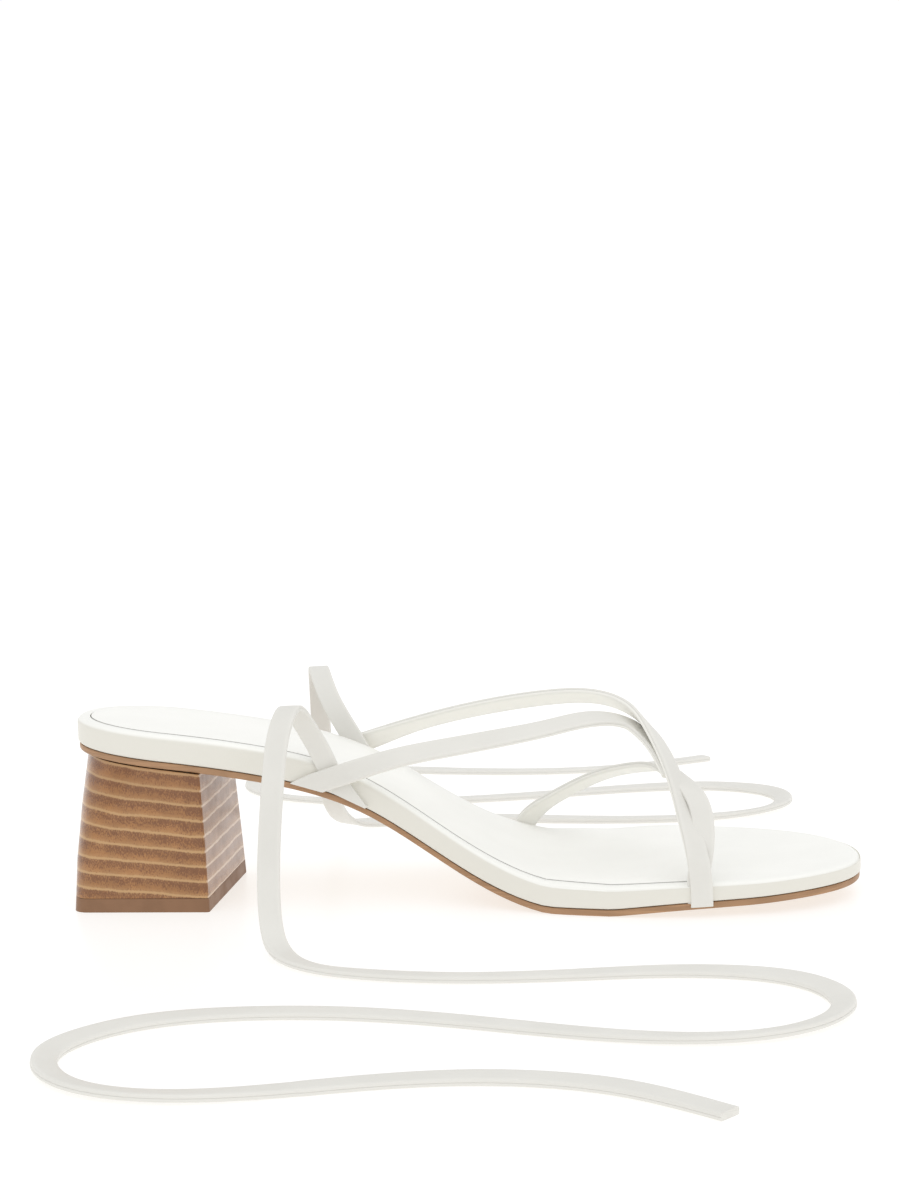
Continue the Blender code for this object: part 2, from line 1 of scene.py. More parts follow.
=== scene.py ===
"""Looks of a left lace-up sandal on a flared block heel, laid out as an add-on and run as a script.

The shoe is worked out from the back of its heel, with x to the toe, y to the outer side of the
foot and z up from the floor. The last step of each piece moves it into the frame.
"""

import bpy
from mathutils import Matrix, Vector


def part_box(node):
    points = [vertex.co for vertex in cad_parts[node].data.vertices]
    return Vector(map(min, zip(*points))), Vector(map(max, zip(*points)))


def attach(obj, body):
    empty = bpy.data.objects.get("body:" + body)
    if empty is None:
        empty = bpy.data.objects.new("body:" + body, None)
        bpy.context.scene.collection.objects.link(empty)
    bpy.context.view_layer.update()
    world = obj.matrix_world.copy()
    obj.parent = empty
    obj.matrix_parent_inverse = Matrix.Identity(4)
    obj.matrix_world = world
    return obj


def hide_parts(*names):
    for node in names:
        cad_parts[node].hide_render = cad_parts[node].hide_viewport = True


bl_info = {
    "name": "Lace Up Heeled Sandal",
    "version": (1, 0, 0),
    "blender": (4, 5, 0),
    "location": "View3D > Sidebar > Sandal",
    "description": "Models and finishes a white lace-up sandal on a stacked block heel",
    "category": "Object",
}

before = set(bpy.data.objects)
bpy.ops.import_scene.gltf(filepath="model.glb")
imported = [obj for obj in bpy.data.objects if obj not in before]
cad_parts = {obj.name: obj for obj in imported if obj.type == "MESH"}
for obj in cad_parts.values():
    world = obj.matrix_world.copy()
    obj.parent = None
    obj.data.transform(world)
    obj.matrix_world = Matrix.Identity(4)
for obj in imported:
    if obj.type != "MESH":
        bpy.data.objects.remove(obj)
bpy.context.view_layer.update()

import math

import bpy
import numpy as np
from bpy.props import FloatProperty, FloatVectorProperty, PointerProperty
from mathutils import Matrix, Vector

BODY = "root"

FOOTBED_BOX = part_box("footbed")

# The shoe's own sizes, in metres, with its length and place from the frame
LENGTH = FOOTBED_BOX[1][0] - FOOTBED_BOX[0][0]
HEEL_BACK_X = FOOTBED_BOX[0][0]
BALL_WIDTH = 0.086
SEAT_RISE = 0.0499
FOOTBED_THICK = 0.0086
FOOTBED_TUCK = 0.0009
TOP_DISH = 0.0008
OUTSOLE_THICK = 0.0019
OUTSOLE_SETBACK = 0.0004
SOCK_THICK = 0.0010
SOCK_INSET = 0.0043
SOCK_LENGTH = 0.190
SOCK_CORNER = 0.0040
SOCK_ROOM = 0.00035
STRAP_RISE = 0.0500
HEEL_LENGTH = 0.0428
HEEL_WIDTH = 0.0537
HEEL_BACK = 0.0019
HEEL_EASE = 0.0009
HEEL_JOINT = 0.00012
TOP_PIECE_THICK = 0.0042
GAP = 0.0003
SEAM = 0.0002
TIE_LIFT = 0.0001

# How far the sheets' edges are eased, and how far the heel's end faces are inset from their rims
SOCK_EDGE = 0.00022
OUTSOLE_UPPER_EDGE = 0.00035
OUTSOLE_LOWER_EDGE = 0.00055
HEEL_END_INSET = 0.0004
TIP_END_INSET = 0.0006

# Sole, heel to toe: shares of LENGTH, of BALL_WIDTH twice, of SEAT_RISE and of FOOTBED_THICK
SOLE_COLUMNS = ("along", "centre", "width", "rise", "thick")
SOLE = (
    (0.00, 0.008, 0.623, 1.000, 0.965),
    (0.12, 0.002, 0.618, 0.932, 0.965),
    (0.25, 0.016, 0.602, 0.824, 0.990),
    (0.38, 0.034, 0.590, 0.608, 1.000),
    (0.50, 0.046, 0.692, 0.242, 0.953),
    (0.62, 0.038, 0.931, 0.036, 0.850),
    (0.68, 0.025, 0.985, 0.041, 0.780),
    (0.74, 0.009, 1.008, 0.073, 0.700),
    (0.86, -0.027, 0.898, 0.104, 0.590),
    (0.94, -0.067, 0.805, 0.125, 0.560),
    (1.00, -0.094, 0.768, 0.131, 0.550),
)
# The round ends of the outline: how far each reaches, as a share of LENGTH, and its fullness
HEEL_END = (0.13, 2.1, 2.0)
TOE_END = (0.16, 2.3, 2.1)

# Heel block, from the floor up: height in shares of SEAT_RISE, rear and breast in shares of
# HEEL_LENGTH, width, corner and place across in shares of HEEL_WIDTH, and its turn in degrees
HEEL_COLUMNS = ("height", "rear", "breast", "width", "corner", "across", "turn")
HEEL = (
    (0.00, 0.000, 1.000, 1.000, 0.09, 0.030, -3.2),
    (0.30, 0.003, 0.986, 0.990, 0.17, 0.024, -2.7),
    (0.60, 0.016, 0.970, 0.980, 0.30, 0.017, -2.1),
    (1.06, 0.055, 0.940, 0.966, 0.52, 0.008, -1.3),
)

# Strap routes: along in shares of LENGTH, across in shares of the sole's half width from its
# middle, with the inner side negative, height over the sole line in shares of STRAP_RISE, and
# how far the upper face leans from the vertical, in degrees to the outer side
STRAP_COLUMNS = ("along", "across", "height", "lean")
CROSS_STRAP = (
    (0.282, 1.000, -0.100, 88.0),
    (0.312, 1.025, 0.010, 87.0),
    (0.340, 1.078, 0.105, 82.0),
    (0.370, 1.085, 0.216, 66.0),
    (0.412, 0.950, 0.406, 47.0),
    (0.477, 0.669, 0.708, 42.0),
    (0.545, 0.427, 0.959, 45.0),
    (0.612, 0.221, 1.104, 46.0),
    (0.677, 0.038, 1.121, 46.0),
    (0.715, -0.103, 1.050, 44.0),
    (0.741, -0.266, 0.920, 33.0),
    (0.766, -0.530, 0.690, 29.0),
    (0.7835, -0.815, 0.420, 18.0),
    (0.793, -0.985, 0.205, -35.0),
    (0.795, -1.000, 0.100, -88.0),
    (0.795, -1.000, -0.060, -90.0),
)
ARCH_STRAP = (
    (0.282, -1.000, -0.100, -90.0),
    (0.312, -1.030, 0.010, -88.0),
    (0.340, -1.085, 0.105, -84.0),
    (0.370, -1.135, 0.216, -68.0),
    (0.428, -1.083, 0.455, -48.0),
    (0.490, -0.930, 0.698, -42.0),
    (0.552, -0.713, 0.891, -37.0),
    (0.614, -0.483, 1.005, -31.0),
    (0.677, -0.260, 1.030, -26.0),
    (0.714, -0.172, 0.965, -8.0),
    (0.740, -0.266, 0.850, 20.0),
    (0.764, -0.520, 0.675, 28.0),
)
TOE_STRAP = (
    (0.556, 1.000, -0.060, 90.0),
    (0.564, 1.010, 0.090, 80.0),
    (0.585, 0.913, 0.260, 44.0),
    (0.618, 0.774, 0.397, 30.0),
    (0.673, 0.505, 0.557, 28.0),
    (0.713, 0.244, 0.629, 34.0),
    (0.751, -0.125, 0.674, 40.0),
    (0.772, -0.478, 0.655, 12.0),
    (0.794, -0.690, 0.545, -36.0),
    (0.800, -0.830, 0.390, -66.0),
    (0.796, -0.925, 0.240, -78.0),
    (0.792, -0.960, 0.140, -86.0),
    (0.792, -0.968, -0.060, -90.0),
)

# The straps, each with its trimmed ends: the distance from the back of the heel and the distance
# below the sole line at which an end is cut off
STRAPS = (
    ("strap_cross", CROSS_STRAP, ((0.070, 0.0003), (0.191, 0.0012))),
    ("strap_arch", ARCH_STRAP, ((0.070, 0.0003),)),
    ("strap_toe", TOE_STRAP, ((0.134, 0.0003), (0.190, 0.0008))),
)

# Tie routes: a place in metres and the way that the upper face looks there, each as x, y, z
INNER_TIE = (
    (0.0893, -0.0230, 0.0290, 0.0, 1.0, 0.0),
    (0.0852, -0.0230, 0.0350, 0.0, 1.0, 0.0),
    (0.0823, -0.0229, 0.0394, 0.0, 1.0, 0.0),
    (0.0784, -0.0230, 0.0480, 0.0, 1.0, 0.1),
    (0.0750, -0.0247, 0.0552, 0.0, 1.0, 0.5),
    (0.0726, -0.0310, 0.0615, 0.0, 0.7, 1.0),
    (0.0715, -0.0400, 0.0632, 0.0, 0.0, 1.0),
    (0.0700, -0.0487, 0.0578, 0.0, -1.0, 0.9),
    (0.0690, -0.0555, 0.0470, 0.0, -1.0, 0.5),
    (0.0683, -0.0605, 0.0345, 0.0, -1.0, 0.4),
    (0.0680, -0.0655, 0.0215, 0.0, -1.0, 0.5),
    (0.0690, -0.0725, 0.0105, 0.0, -0.7, 1.0),
    (0.0722, -0.0820, 0.0035, 0.0, -0.2, 1.0),
    (0.0795, -0.0920, 0.0011, 0.0, 0.0, 1.0),
    (0.0950, -0.1010, 0.0010, 0.0, 0.0, 1.0),
    (0.1250, -0.1065, 0.0010, 0.0, 0.0, 1.0),
    (0.1580, -0.1045, 0.0010, 0.0, 0.0, 1.0),
    (0.1900, -0.1040, 0.0010, 0.0, 0.0, 1.0),
    (0.2150, -0.1160, 0.0010, 0.0, 0.0, 1.0),
    (0.2220, -0.1390, 0.0010, 0.0, 0.0, 1.0),
    (0.2070, -0.1580, 0.0010, 0.0, 0.0, 1.0),
    (0.1800, -0.1620, 0.0010, 0.0, 0.0, 1.0),
    (0.1450, -0.1520, 0.0010, 0.0, 0.0, 1.0),
    (0.1080, -0.1400, 0.0010, 0.0, 0.0, 1.0),
    (0.0710, -0.1370, 0.0010, 0.0, 0.0, 1.0),
    (0.0410, -0.1480, 0.0010, 0.0, 0.0, 1.0),
    (0.0290, -0.1700, 0.0010, 0.0, 0.0, 1.0),
    (0.0390, -0.1920, 0.0010, 0.0, 0.0, 1.0),
    (0.0650, -0.2010, 0.0010, 0.0, 0.0, 1.0),
    (0.0980, -0.1950, 0.0010, 0.0, 0.0, 1.0),
    (0.1340, -0.1900, 0.0010, 0.0, 0.0, 1.0),
    (0.1660, -0.1980, 0.0010, 0.0, 0.0, 1.0),
    (0.1900, -0.2160, 0.0010, 0.0, 0.0, 1.0),
)
OUTER_TIE = (
    (0.0857, 0.0264, 0.0377, 0.0, -1.0, 0.0),
    (0.0838, 0.0264, 0.0412, 0.0, -1.0, 0.0),
    (0.0795, 0.0266, 0.0487, 0.0, -1.0, 0.1),
    (0.0755, 0.0286, 0.0558, 0.0, -1.0, 0.5),
    (0.0722, 0.0352, 0.0620, 0.0, -0.7, 1.0),
    (0.0700, 0.0442, 0.0636, 0.0, 0.0, 1.0),
    (0.0688, 0.0529, 0.0580, 0.0, 1.0, 0.9),
    (0.0680, 0.0597, 0.0470, 0.0, 1.0, 0.5),
    (0.0677, 0.0647, 0.0345, 0.0, 1.0, 0.4),
    (0.0680, 0.0697, 0.0215, 0.0, 1.0, 0.5),
    (0.0695, 0.0767, 0.0105, 0.0, 0.7, 1.0),
    (0.0735, 0.0855, 0.0035, 0.0, 0.2, 1.0),
    (0.0830, 0.0940, 0.0011, 0.0, 0.0, 1.0),
    (0.1010, 0.0990, 0.0010, 0.0, 0.0, 1.0),
    (0.1330, 0.0975, 0.0010, 0.0, 0.0, 1.0),
    (0.1680, 0.0920, 0.0010, 0.0, 0.0, 1.0),
    (0.2000, 0.0940, 0.0010, 0.0, 0.0, 1.0),
    (0.2230, 0.1080, 0.0010, 0.0, 0.0, 1.0),
    (0.2240, 0.1310, 0.0010, 0.0, 0.0, 1.0),
    (0.2050, 0.1470, 0.0010, 0.0, 0.0, 1.0),
    (0.1730, 0.1480, 0.0010, 0.0, 0.0, 1.0),
    (0.1370, 0.1390, 0.0010, 0.0, 0.0, 1.0),
    (0.1000, 0.1320, 0.0010, 0.0, 0.0, 1.0),
    (0.0630, 0.1350, 0.0010, 0.0, 0.0, 1.0),
    (0.0350, 0.1490, 0.0010, 0.0, 0.0, 1.0),
    (0.0270, 0.1720, 0.0010, 0.0, 0.0, 1.0),
    (0.0430, 0.1910, 0.0010, 0.0, 0.0, 1.0),
    (0.0740, 0.1960, 0.0010, 0.0, 0.0, 1.0),
    (0.1110, 0.1890, 0.0010, 0.0, 0.0, 1.0),
    (0.1480, 0.1860, 0.0010, 0.0, 0.0, 1.0),
    (0.1800, 0.1950, 0.0010, 0.0, 0.0, 1.0),
    (0.2020, 0.2080, 0.0010, 0.0, 0.0, 1.0),
)

TIES = (
    ("tie_inner_band", "tie_inner", INNER_TIE),
    ("tie_outer_band", "tie_outer", OUTER_TIE),
)

# How a tie tips over in its turns on the floor: the height of its middle where it lies flat, how
# far over that the tipping fades out, the turn in radians to the metre that tips it fully, and
# over how many points the tipping is evened
TIE_REST_HEIGHT = 0.0011
TIE_FADE_HEIGHT = 0.004
TIE_SHARP_TURN = 45.0
TIE_EVENING_POINTS = 15

# One quarter of a turned-edge band's section, from the seam of its edge to the middle of its
# face: shares of half its width and of half its thickness
BAND_QUARTER = (
    (0.962, 0.00),
    (0.992, 0.10),
    (1.000, 0.34),
    (0.988, 0.62),
    (0.955, 0.86),
    (0.890, 0.985),
    (0.640, 1.02),
    (0.320, 1.045),
    (0.000, 1.05),
)

# How finely the forms are cut, with lanes along the sole in shares of BALL_WIDTH
STATIONS = 110
HEEL_ROWS = 26
CORNER_STEPS = 14
CURVE_SAMPLES = 1600
STRAP_STEP = 0.0014
TIE_STEP = 0.0024
TRIM_REACH = 0.012
LANE_REACH = 0.44
LANES = 9
CUT_STEP = 0.0032
FOOTBED_EDGE_STEPS = 9
FOOTBED_TUCK_STEPS = 4
SOCK_EDGE_STEPS = 3
SOCK_CORNER_STEPS = 8
OUTSOLE_UPPER_STEPS = 2
OUTSOLE_LOWER_STEPS = 3
BAND_SMOOTH = 55.0
SHEET_SMOOTH = 40.0
HEEL_SMOOTH = 38.0

# Distances within which points are the same or nearly so, the least divisor, and the least upward
# share of a level face's normal
SAME_PLACE = 1e-6
NEAR_PLACE = 1e-5
NOT_ZERO = 1e-6
LEVEL_FACE = 0.999

# Heel layers: their middle from the back of the heel, the first line's height there, how the
# lines tilt at the floor and gain tilt with height, and how far they wander and fray
LAYERS_MIDDLE = 0.027
FIRST_LINE = 0.00582
FLOOR_TILT = 0.073
TILT_GAIN = 1.45
LINE_WANDER = 0.0012
LINE_FRAY = 0.0007
# Grain of the heel's layers, as repeats to the metre along x, y and z
FRAY_GRAIN = (2200.0, 2200.0, 900.0)
SPECK_GRAIN = (3300.0, 3300.0, 1500.0)
BLOTCH_GRAIN = (150.0, 150.0, 210.0)
# How much each part of the layers' colour covers, on the sides and on the breast, where the fainter
# specks are a painted sheen, and how far the painted shade under the seat covers
LINE_COVER = 0.62
LINE_HALO_COVER = 0.26
SPECK_COVER = 0.72
BREAST_SHEEN_SPECK_COVER = 0.5
SEAT_SHADE_COVER = 0.22
BREAST_SHEEN_LINE = (0.78, 0.63, 0.48, 1.0)

# Sockets of a colour mix node by their number, as several of them have the same name
MIX_FACTOR, MIX_FIRST, MIX_SECOND = 0, 6, 7
MIX_RESULT = 2

# How deep the bump of the finishes is, and how strongly leather and rubber shine
RELIEF_DEPTH = 0.0002
LAYER_RELIEF_DEPTH = 0.00015
LEATHER_SPECULAR = 0.42
RUBBER_SPECULAR = 0.4

# Studio light: the surroundings as they light the shoe and as they look, and the key light
SKY_STRENGTH = 0.90
SKY_SEEN = 1.02
KEY_STRENGTH = 0.70
KEY_FROM = (0.15, -0.35, 1.0)
FLOOR_RADIUS = 5.0
FLOOR_CORNERS = 96
FLOOR_GLOW = (0.755, 0.715, 0.67, 1.0)
FLOOR_BOUNCE = 1.25
KEY_SPREAD = math.radians(80.0)

# Camera, with its lens in millimetres on a 36 mm sensor
CAMERA_TARGET = (0.1174, 0.0, 0.0901)
CAMERA_DISTANCE = 0.706
CAMERA_AZIMUTH = math.radians(4.2)
CAMERA_ELEVATION = math.radians(6.34)
CAMERA_ROLL = math.radians(-1.97)
CAMERA_LENS = 69.0
SENSOR_WIDTH = 36.0
NEAREST_SEEN = 0.01
FARTHEST_SEEN = 50.0


class SandalSizes(bpy.types.PropertyGroup):
    """Sizes of the sandal that a user would change."""
    strap_width: FloatProperty(
        name="Strap width", description="Width of every strap and tie",
        default=0.0065, min=0.004, max=0.012, precision=4, unit="LENGTH")
    strap_thick: FloatProperty(
        name="Strap thickness", description="Thickness of the turned-edge leather",
        default=0.0018, min=0.001, max=0.003, precision=4, unit="LENGTH")
    edge_round: FloatProperty(
        name="Footbed rounding", description="How far the footbed's upper edge is rounded",
        default=0.0025, min=0.001, max=0.004, precision=4, unit="LENGTH")
    sock_proud: FloatProperty(
        name="Lining rise", description="How far the lining stands over the footbed",
        default=0.00028, min=0.0, max=0.001, precision=5, unit="LENGTH")
    layer_pitch: FloatProperty(
        name="Heel layer", description="Thickness of one layer of the stacked heel",
        default=0.00473, min=0.002, max=0.01, precision=5, unit="LENGTH")
    tie_bank: FloatProperty(
        name="Tie bank", description="How far a tie tips over in its tightest turns on the floor",
        default=math.radians(14.0), min=0.0, max=math.radians(40.0), subtype="ANGLE")


class SandalFinish(bpy.types.PropertyGroup):
    """Colours of the sandal that a user would change."""
    leather: FloatVectorProperty(
        name="Strap leather", description="Off-white of the straps and ties",
        default=(0.705, 0.695, 0.655, 1.0), size=4, min=0.0, max=1.0, subtype="COLOR")
    lining: FloatVectorProperty(
        name="Strap lining", description="Paler leather on the underside of the straps",
        default=(0.89, 0.88, 0.83, 1.0), size=4, min=0.0, max=1.0, subtype="COLOR")
    wrap: FloatVectorProperty(
        name="Footbed leather", description="Leather wrapped round the footbed, as it looks on top",
        default=(0.875, 0.875, 0.84, 1.0), size=4, min=0.0, max=1.0, subtype="COLOR")
    # The footbed leather darkened as painted shade, for the upright side wall that turns away from the
    # light
    painted_wall_shade: FloatVectorProperty(
        name="Footbed wall", description="The same leather where it is stretched down the side",
        default=(0.715, 0.700, 0.640, 1.0), size=4, min=0.0, max=1.0, subtype="COLOR")
    sock: FloatVectorProperty(
        name="Lining leather", description="Softer white of the insole lining",
        default=(0.895, 0.893, 0.86, 1.0), size=4, min=0.0, max=1.0, subtype="COLOR")
    sole: FloatVectorProperty(
        name="Outsole", description="Tan brown of the outsole",
        default=(0.375, 0.215, 0.115, 1.0), size=4, min=0.0, max=1.0, subtype="COLOR")
    stack: FloatVectorProperty(
        name="Heel layers", description="Tan of the heel's layers",
        default=(0.368, 0.168, 0.055, 1.0), size=4, min=0.0, max=1.0, subtype="COLOR")
    stack_line: FloatVectorProperty(
        name="Layer lines", description="Light line between two layers",
        default=(0.53, 0.335, 0.16, 1.0), size=4, min=0.0, max=1.0, subtype="COLOR")
    # Also the colour of the painted shade under the seat
    stack_dark: FloatVectorProperty(
        name="Layer specks", description="Dark specks in the layers",
        default=(0.128, 0.040, 0.013, 1.0), size=4, min=0.0, max=1.0, subtype="COLOR")
    tip: FloatVectorProperty(
        name="Heel tip", description="Plain brown of the heel's wearing piece",
        default=(0.235, 0.122, 0.062, 1.0), size=4, min=0.0, max=1.0, subtype="COLOR")
    floor: FloatVectorProperty(
        name="Floor", description="The part of the pale floor's brightness that a shadow takes away",
        default=(0.24, 0.28, 0.32, 1.0), size=4, min=0.0, max=1.0, subtype="COLOR")


def sizes():
    return bpy.context.scene.sandal_sizes


def finish():
    return bpy.context.scene.sandal_finish


def spline(knots, values, at):
    """Natural cubic curve through the knots, read at the given places."""
    knots = np.asarray(knots, dtype=float)
    values = np.asarray(values, dtype=float)
    steps = np.diff(knots)
    count = len(knots)
    matrix = np.eye(count)
    right = np.zeros(count)
    for row in range(1, count - 1):
        left, ahead = steps[row - 1], steps[row]
        matrix[row, row - 1:row + 2] = left, 2.0 * (left + ahead), ahead
        right[row] = 6.0 * ((values[row + 1] - values[row]) / ahead
                            - (values[row] - values[row - 1]) / left)
    bend = np.linalg.solve(matrix, right)
    span = np.clip(np.searchsorted(knots, at) - 1, 0, count - 2)
    width = steps[span]
    before = knots[span + 1] - at
    after = at - knots[span]
    cubic = (bend[span] * before ** 3 + bend[span + 1] * after ** 3) / (6.0 * width)
    low = (values[span] / width - bend[span] * width / 6.0) * before
    high = (values[span + 1] / width - bend[span + 1] * width / 6.0) * after
    return cubic + low + high


def column(table, names, name):
    return np.array(table)[:, names.index(name)]


def sole_column(name, x):
    """One column of the sole's table at the distance x from the back of the heel."""
    along = np.clip(np.asarray(x, dtype=float) / LENGTH, 0.0, 1.0)
    return spline(column(SOLE, SOLE_COLUMNS, "along"), column(SOLE, SOLE_COLUMNS, name), along)


def sole_line(x):
    """Height of the underside of the footbed, which is level where the ball stands."""
    return np.maximum(sole_column("rise", x) * SEAT_RISE, OUTSOLE_THICK + GAP)


def sole_centre(x):
    return sole_column("centre", x) * BALL_WIDTH


def sole_half(x):
    return sole_column("width", x) * BALL_WIDTH / 2.0


def end_factor(x):
    """Takes the outline in to nothing at the round heel end and the squarer toe."""
    along = np.clip(np.asarray(x, dtype=float) / LENGTH, 0.0, 1.0)
    factor = np.ones_like(along)
    for (reach, full, root), place in ((HEEL_END, along), (TOE_END, 1.0 - along)):
        short = np.clip(1.0 - place / reach, 0.0, 1.0)
        factor = factor * np.clip(1.0 - short ** full, 0.0, 1.0) ** (1.0 / root)
    return factor


def outline(inset):
    """The sole's outline moved inwards, as a closed loop of (x, y) round the inner side first."""
    turn = np.linspace(0.0, math.pi, STATIONS + 1)
    x = LENGTH * (1.0 - np.cos(turn)) / 2.0
    half = sole_half(x) * end_factor(x)
    inner = np.stack([x, sole_centre(x) - half], axis=1)
    outer = np.stack([x, sole_centre(x) + half], axis=1)
    loop = np.concatenate([inner, outer[-2:0:-1]])
    ahead = np.roll(loop, -1, axis=0) - np.roll(loop, 1, axis=0)
    ahead = ahead / np.linalg.norm(ahead, axis=1)[:, None]
    return loop + inset * np.stack([-ahead[:, 1], ahead[:, 0]], axis=1)


def heel_place():
    """Where the back of the heel stands in the frame: the footbed's box and its outline agree."""
    across = outline(0.0)[:, 1]
    middle = (FOOTBED_BOX[0][1] + FOOTBED_BOX[1][1]) / 2.0
    return Vector((HEEL_BACK_X, middle - (across.min() + across.max()) / 2.0, 0.0))


def select_none():
    bpy.ops.object.select_all(action="DESELECT")


def work_on(piece):
    """Makes the piece the only selected and the active one."""
    select_none()
    piece.select_set(True)
    bpy.context.view_layer.objects.active = piece


def pick(piece, kind, test):
    """Goes into edit mode with only those vertices, edges or polygons for which the test holds."""
    mesh = piece.data
    for part in (mesh.vertices, mesh.edges, mesh.polygons):
        part.foreach_set("select", [False] * len(part))
    chosen = getattr(mesh, kind)
    chosen.foreach_set("select", [bool(test(item)) for item in chosen])
    bpy.context.tool_settings.mesh_select_mode = [
        kind == name for name in ("vertices", "edges", "polygons")]
    bpy.ops.object.mode_set(mode="EDIT")


def leave():
    bpy.ops.object.mode_set(mode="OBJECT")


def new_piece(name):
    """Takes the primitive that was just added as the start of a piece."""
    piece = bpy.context.object
    piece.name = name
    piece.data.name = name
    return piece


def face_outwards(piece):
    pick(piece, "polygons", lambda face: True)
    bpy.ops.mesh.normals_make_consistent(inside=False)
    leave()


def flat_plate(name, loop, thick):
    """A plate with the loop's outline that lies on z = 0."""
    select_none()
    bpy.ops.mesh.primitive_circle_add(vertices=len(loop), radius=1.0, fill_type="NGON")
    plate = new_piece(name)
    for vertex, (x, y) in zip(plate.data.vertices, loop):
        vertex.co = (x, y, 0.0)
    pick(plate, "polygons", lambda face: True)
    bpy.ops.mesh.extrude_region_move(TRANSFORM_OT_translate={"value": (0.0, 0.0, thick)})
    leave()
    face_outwards(plate)
    return plate


def ease_rim(plate, height, reach, segments):
    """Rounds the plate's rim at that height."""
    points = plate.data.vertices
    on_rim = [abs(point.co.z - height) < SAME_PLACE for point in points]
    pick(plate, "edges", lambda edge: on_rim[edge.vertices[0]] and on_rim[edge.vertices[1]])
    bpy.ops.mesh.bevel(offset=reach, segments=segments, profile=0.5, affect="EDGES")
    leave()


def cut_grid(plate, places, normal):
    """Cuts the plate's level faces at each place along the normal, so that they can follow a curve."""
    for place in places:
        pick(plate, "polygons", lambda face: abs(face.normal.z) > LEVEL_FACE)
        bpy.ops.mesh.bisect(plane_co=tuple(place * share for share in normal), plane_no=normal)
        leave()


def cut_level_faces(plate, low, high):
    lanes = BALL_WIDTH * np.linspace(-LANE_REACH, LANE_REACH, LANES)
    stations = np.linspace(low, high, int(round((high - low) / CUT_STEP)) + 1)[1:-1]
    cut_grid(plate, lanes, (0.0, 1.0, 0.0))
    cut_grid(plate, stations, (1.0, 0.0, 0.0))


def bend_to_sole(plate, height):
    """Moves each point of a level plate to the height that the function gives for x, y and z."""
    points = np.empty(3 * len(plate.data.vertices))
    plate.data.vertices.foreach_get("co", points)
    points = points.reshape(-1, 3)
    points[:, 2] = height(points[:, 0], points[:, 1], points[:, 2])
    plate.data.vertices.foreach_set("co", points.ravel())
    plate.data.update()


def bowl(x, y):
    """How deep the footbed's top is dished at a place, as a share of TOP_DISH."""
    half = np.maximum(sole_half(x) * end_factor(x), NOT_ZERO)
    across = np.clip((y - sole_centre(x)) / half, -1.0, 1.0)
    return (1.0 - across ** 2) * end_factor(x)


def smooth_route(points, step):
    """A smooth curve through the points, read at even steps."""
    points = np.asarray(points, dtype=float)
    chords = np.linalg.norm(np.diff(points[:, :3], axis=0), axis=1)
    knots = np.concatenate([[0.0], np.cumsum(chords)])
    fine = np.linspace(0.0, knots[-1], CURVE_SAMPLES)
    curve = np.stack([spline(knots, values, fine) for values in points.T], axis=1)
    pieces = np.linalg.norm(np.diff(curve[:, :3], axis=0), axis=1)
    walked = np.concatenate([[0.0], np.cumsum(pieces)])
    even = np.linspace(0.0, walked[-1], int(round(walked[-1] / step)) + 1)
    return np.stack([np.interp(even, walked, values) for values in curve.T], axis=1)


def directions(path):
    along = np.gradient(path, axis=0)
    return along / np.linalg.norm(along, axis=1)[:, None]


def band_section():
    """The whole section of a band, as a closed loop of shares that ends where it starts."""
    quarter = list(BAND_QUARTER)
    top = quarter + [(-across, up) for across, up in reversed(quarter[:-1])]
    loop = top + [(across, -up) for across, up in reversed(top[1:-1])]
    return np.array(loop + loop[:1])


def band(name, path, faces_to, width, thick):
    """A turned-edge band along the path: a grid wrapped round the band's section."""
    section = band_section()
    around = len(section) - 1
    along = len(path) - 1
    select_none()
    bpy.ops.mesh.primitive_grid_add(x_subdivisions=along, y_subdivisions=around, size=2.0)
    piece = new_piece(name)
    ahead = directions(path)
    face = faces_to - np.sum(faces_to * ahead, axis=1)[:, None] * ahead
    face = face / np.linalg.norm(face, axis=1)[:, None]
    side = np.cross(ahead, face)
    for vertex in piece.data.vertices:
        place = int(round((vertex.co.x + 1.0) / 2.0 * along))
        turn = int(round((vertex.co.y + 1.0) / 2.0 * around))
        across, up = section[turn]
        vertex.co = path[place] + across * width / 2.0 * side[place] + up * thick / 2.0 * face[place]
    length = float(np.sum(np.linalg.norm(np.diff(path, axis=0), axis=1)))
    for corner in piece.data.uv_layers[0].data:
        corner.uv = (corner.uv[0] * length, corner.uv[1])
    pick(piece, "vertices", lambda vertex: True)
    bpy.ops.mesh.remove_doubles(threshold=SAME_PLACE)
    bpy.ops.mesh.select_all(action="SELECT")
    bpy.ops.mesh.fill_holes(sides=0)
    leave()
    face_outwards(piece)
    return piece


def trim(piece, x, level, near_end):
    """Cuts off the end of a band that lies under a level, along a plane tilted as the sole is."""
    rise = float(sole_line(x + TRIM_REACH) - sole_line(x - TRIM_REACH)) / (2.0 * TRIM_REACH)
    pick(piece, "polygons", near_end)
    bpy.ops.mesh.bisect(plane_co=(x, 0.0, level), plane_no=(-rise, 0.0, 1.0), use_fill=True,
                        clear_inner=True)
    leave()


def trim_strap(piece, x, below):
    """Cuts a strap's end off at a distance below the sole line."""
    level = float(sole_line(x)) - below
    trim(piece, x, level, lambda face: abs(face.center.x - x) < TRIM_REACH
         and face.center.z < level + TRIM_REACH)


def trim_tie(piece, start):
    """Cuts a tie's bonded end off just over the sole line."""
    x = float(start[0])
    trim(piece, x, float(sole_line(x)) + TIE_LIFT,
         lambda face: (face.center - Vector(start)).length < TRIM_REACH)


def strap_path(route):
    """The strap's middle line in metres, from its table of shares."""
    x = column(route, STRAP_COLUMNS, "along") * LENGTH
    y = sole_centre(x) + column(route, STRAP_COLUMNS, "across") * sole_half(x)
    z = sole_line(x) + column(route, STRAP_COLUMNS, "height") * STRAP_RISE
    return smooth_route(np.stack([x, y, z, column(route, STRAP_COLUMNS, "lean")], axis=1), STRAP_STEP)


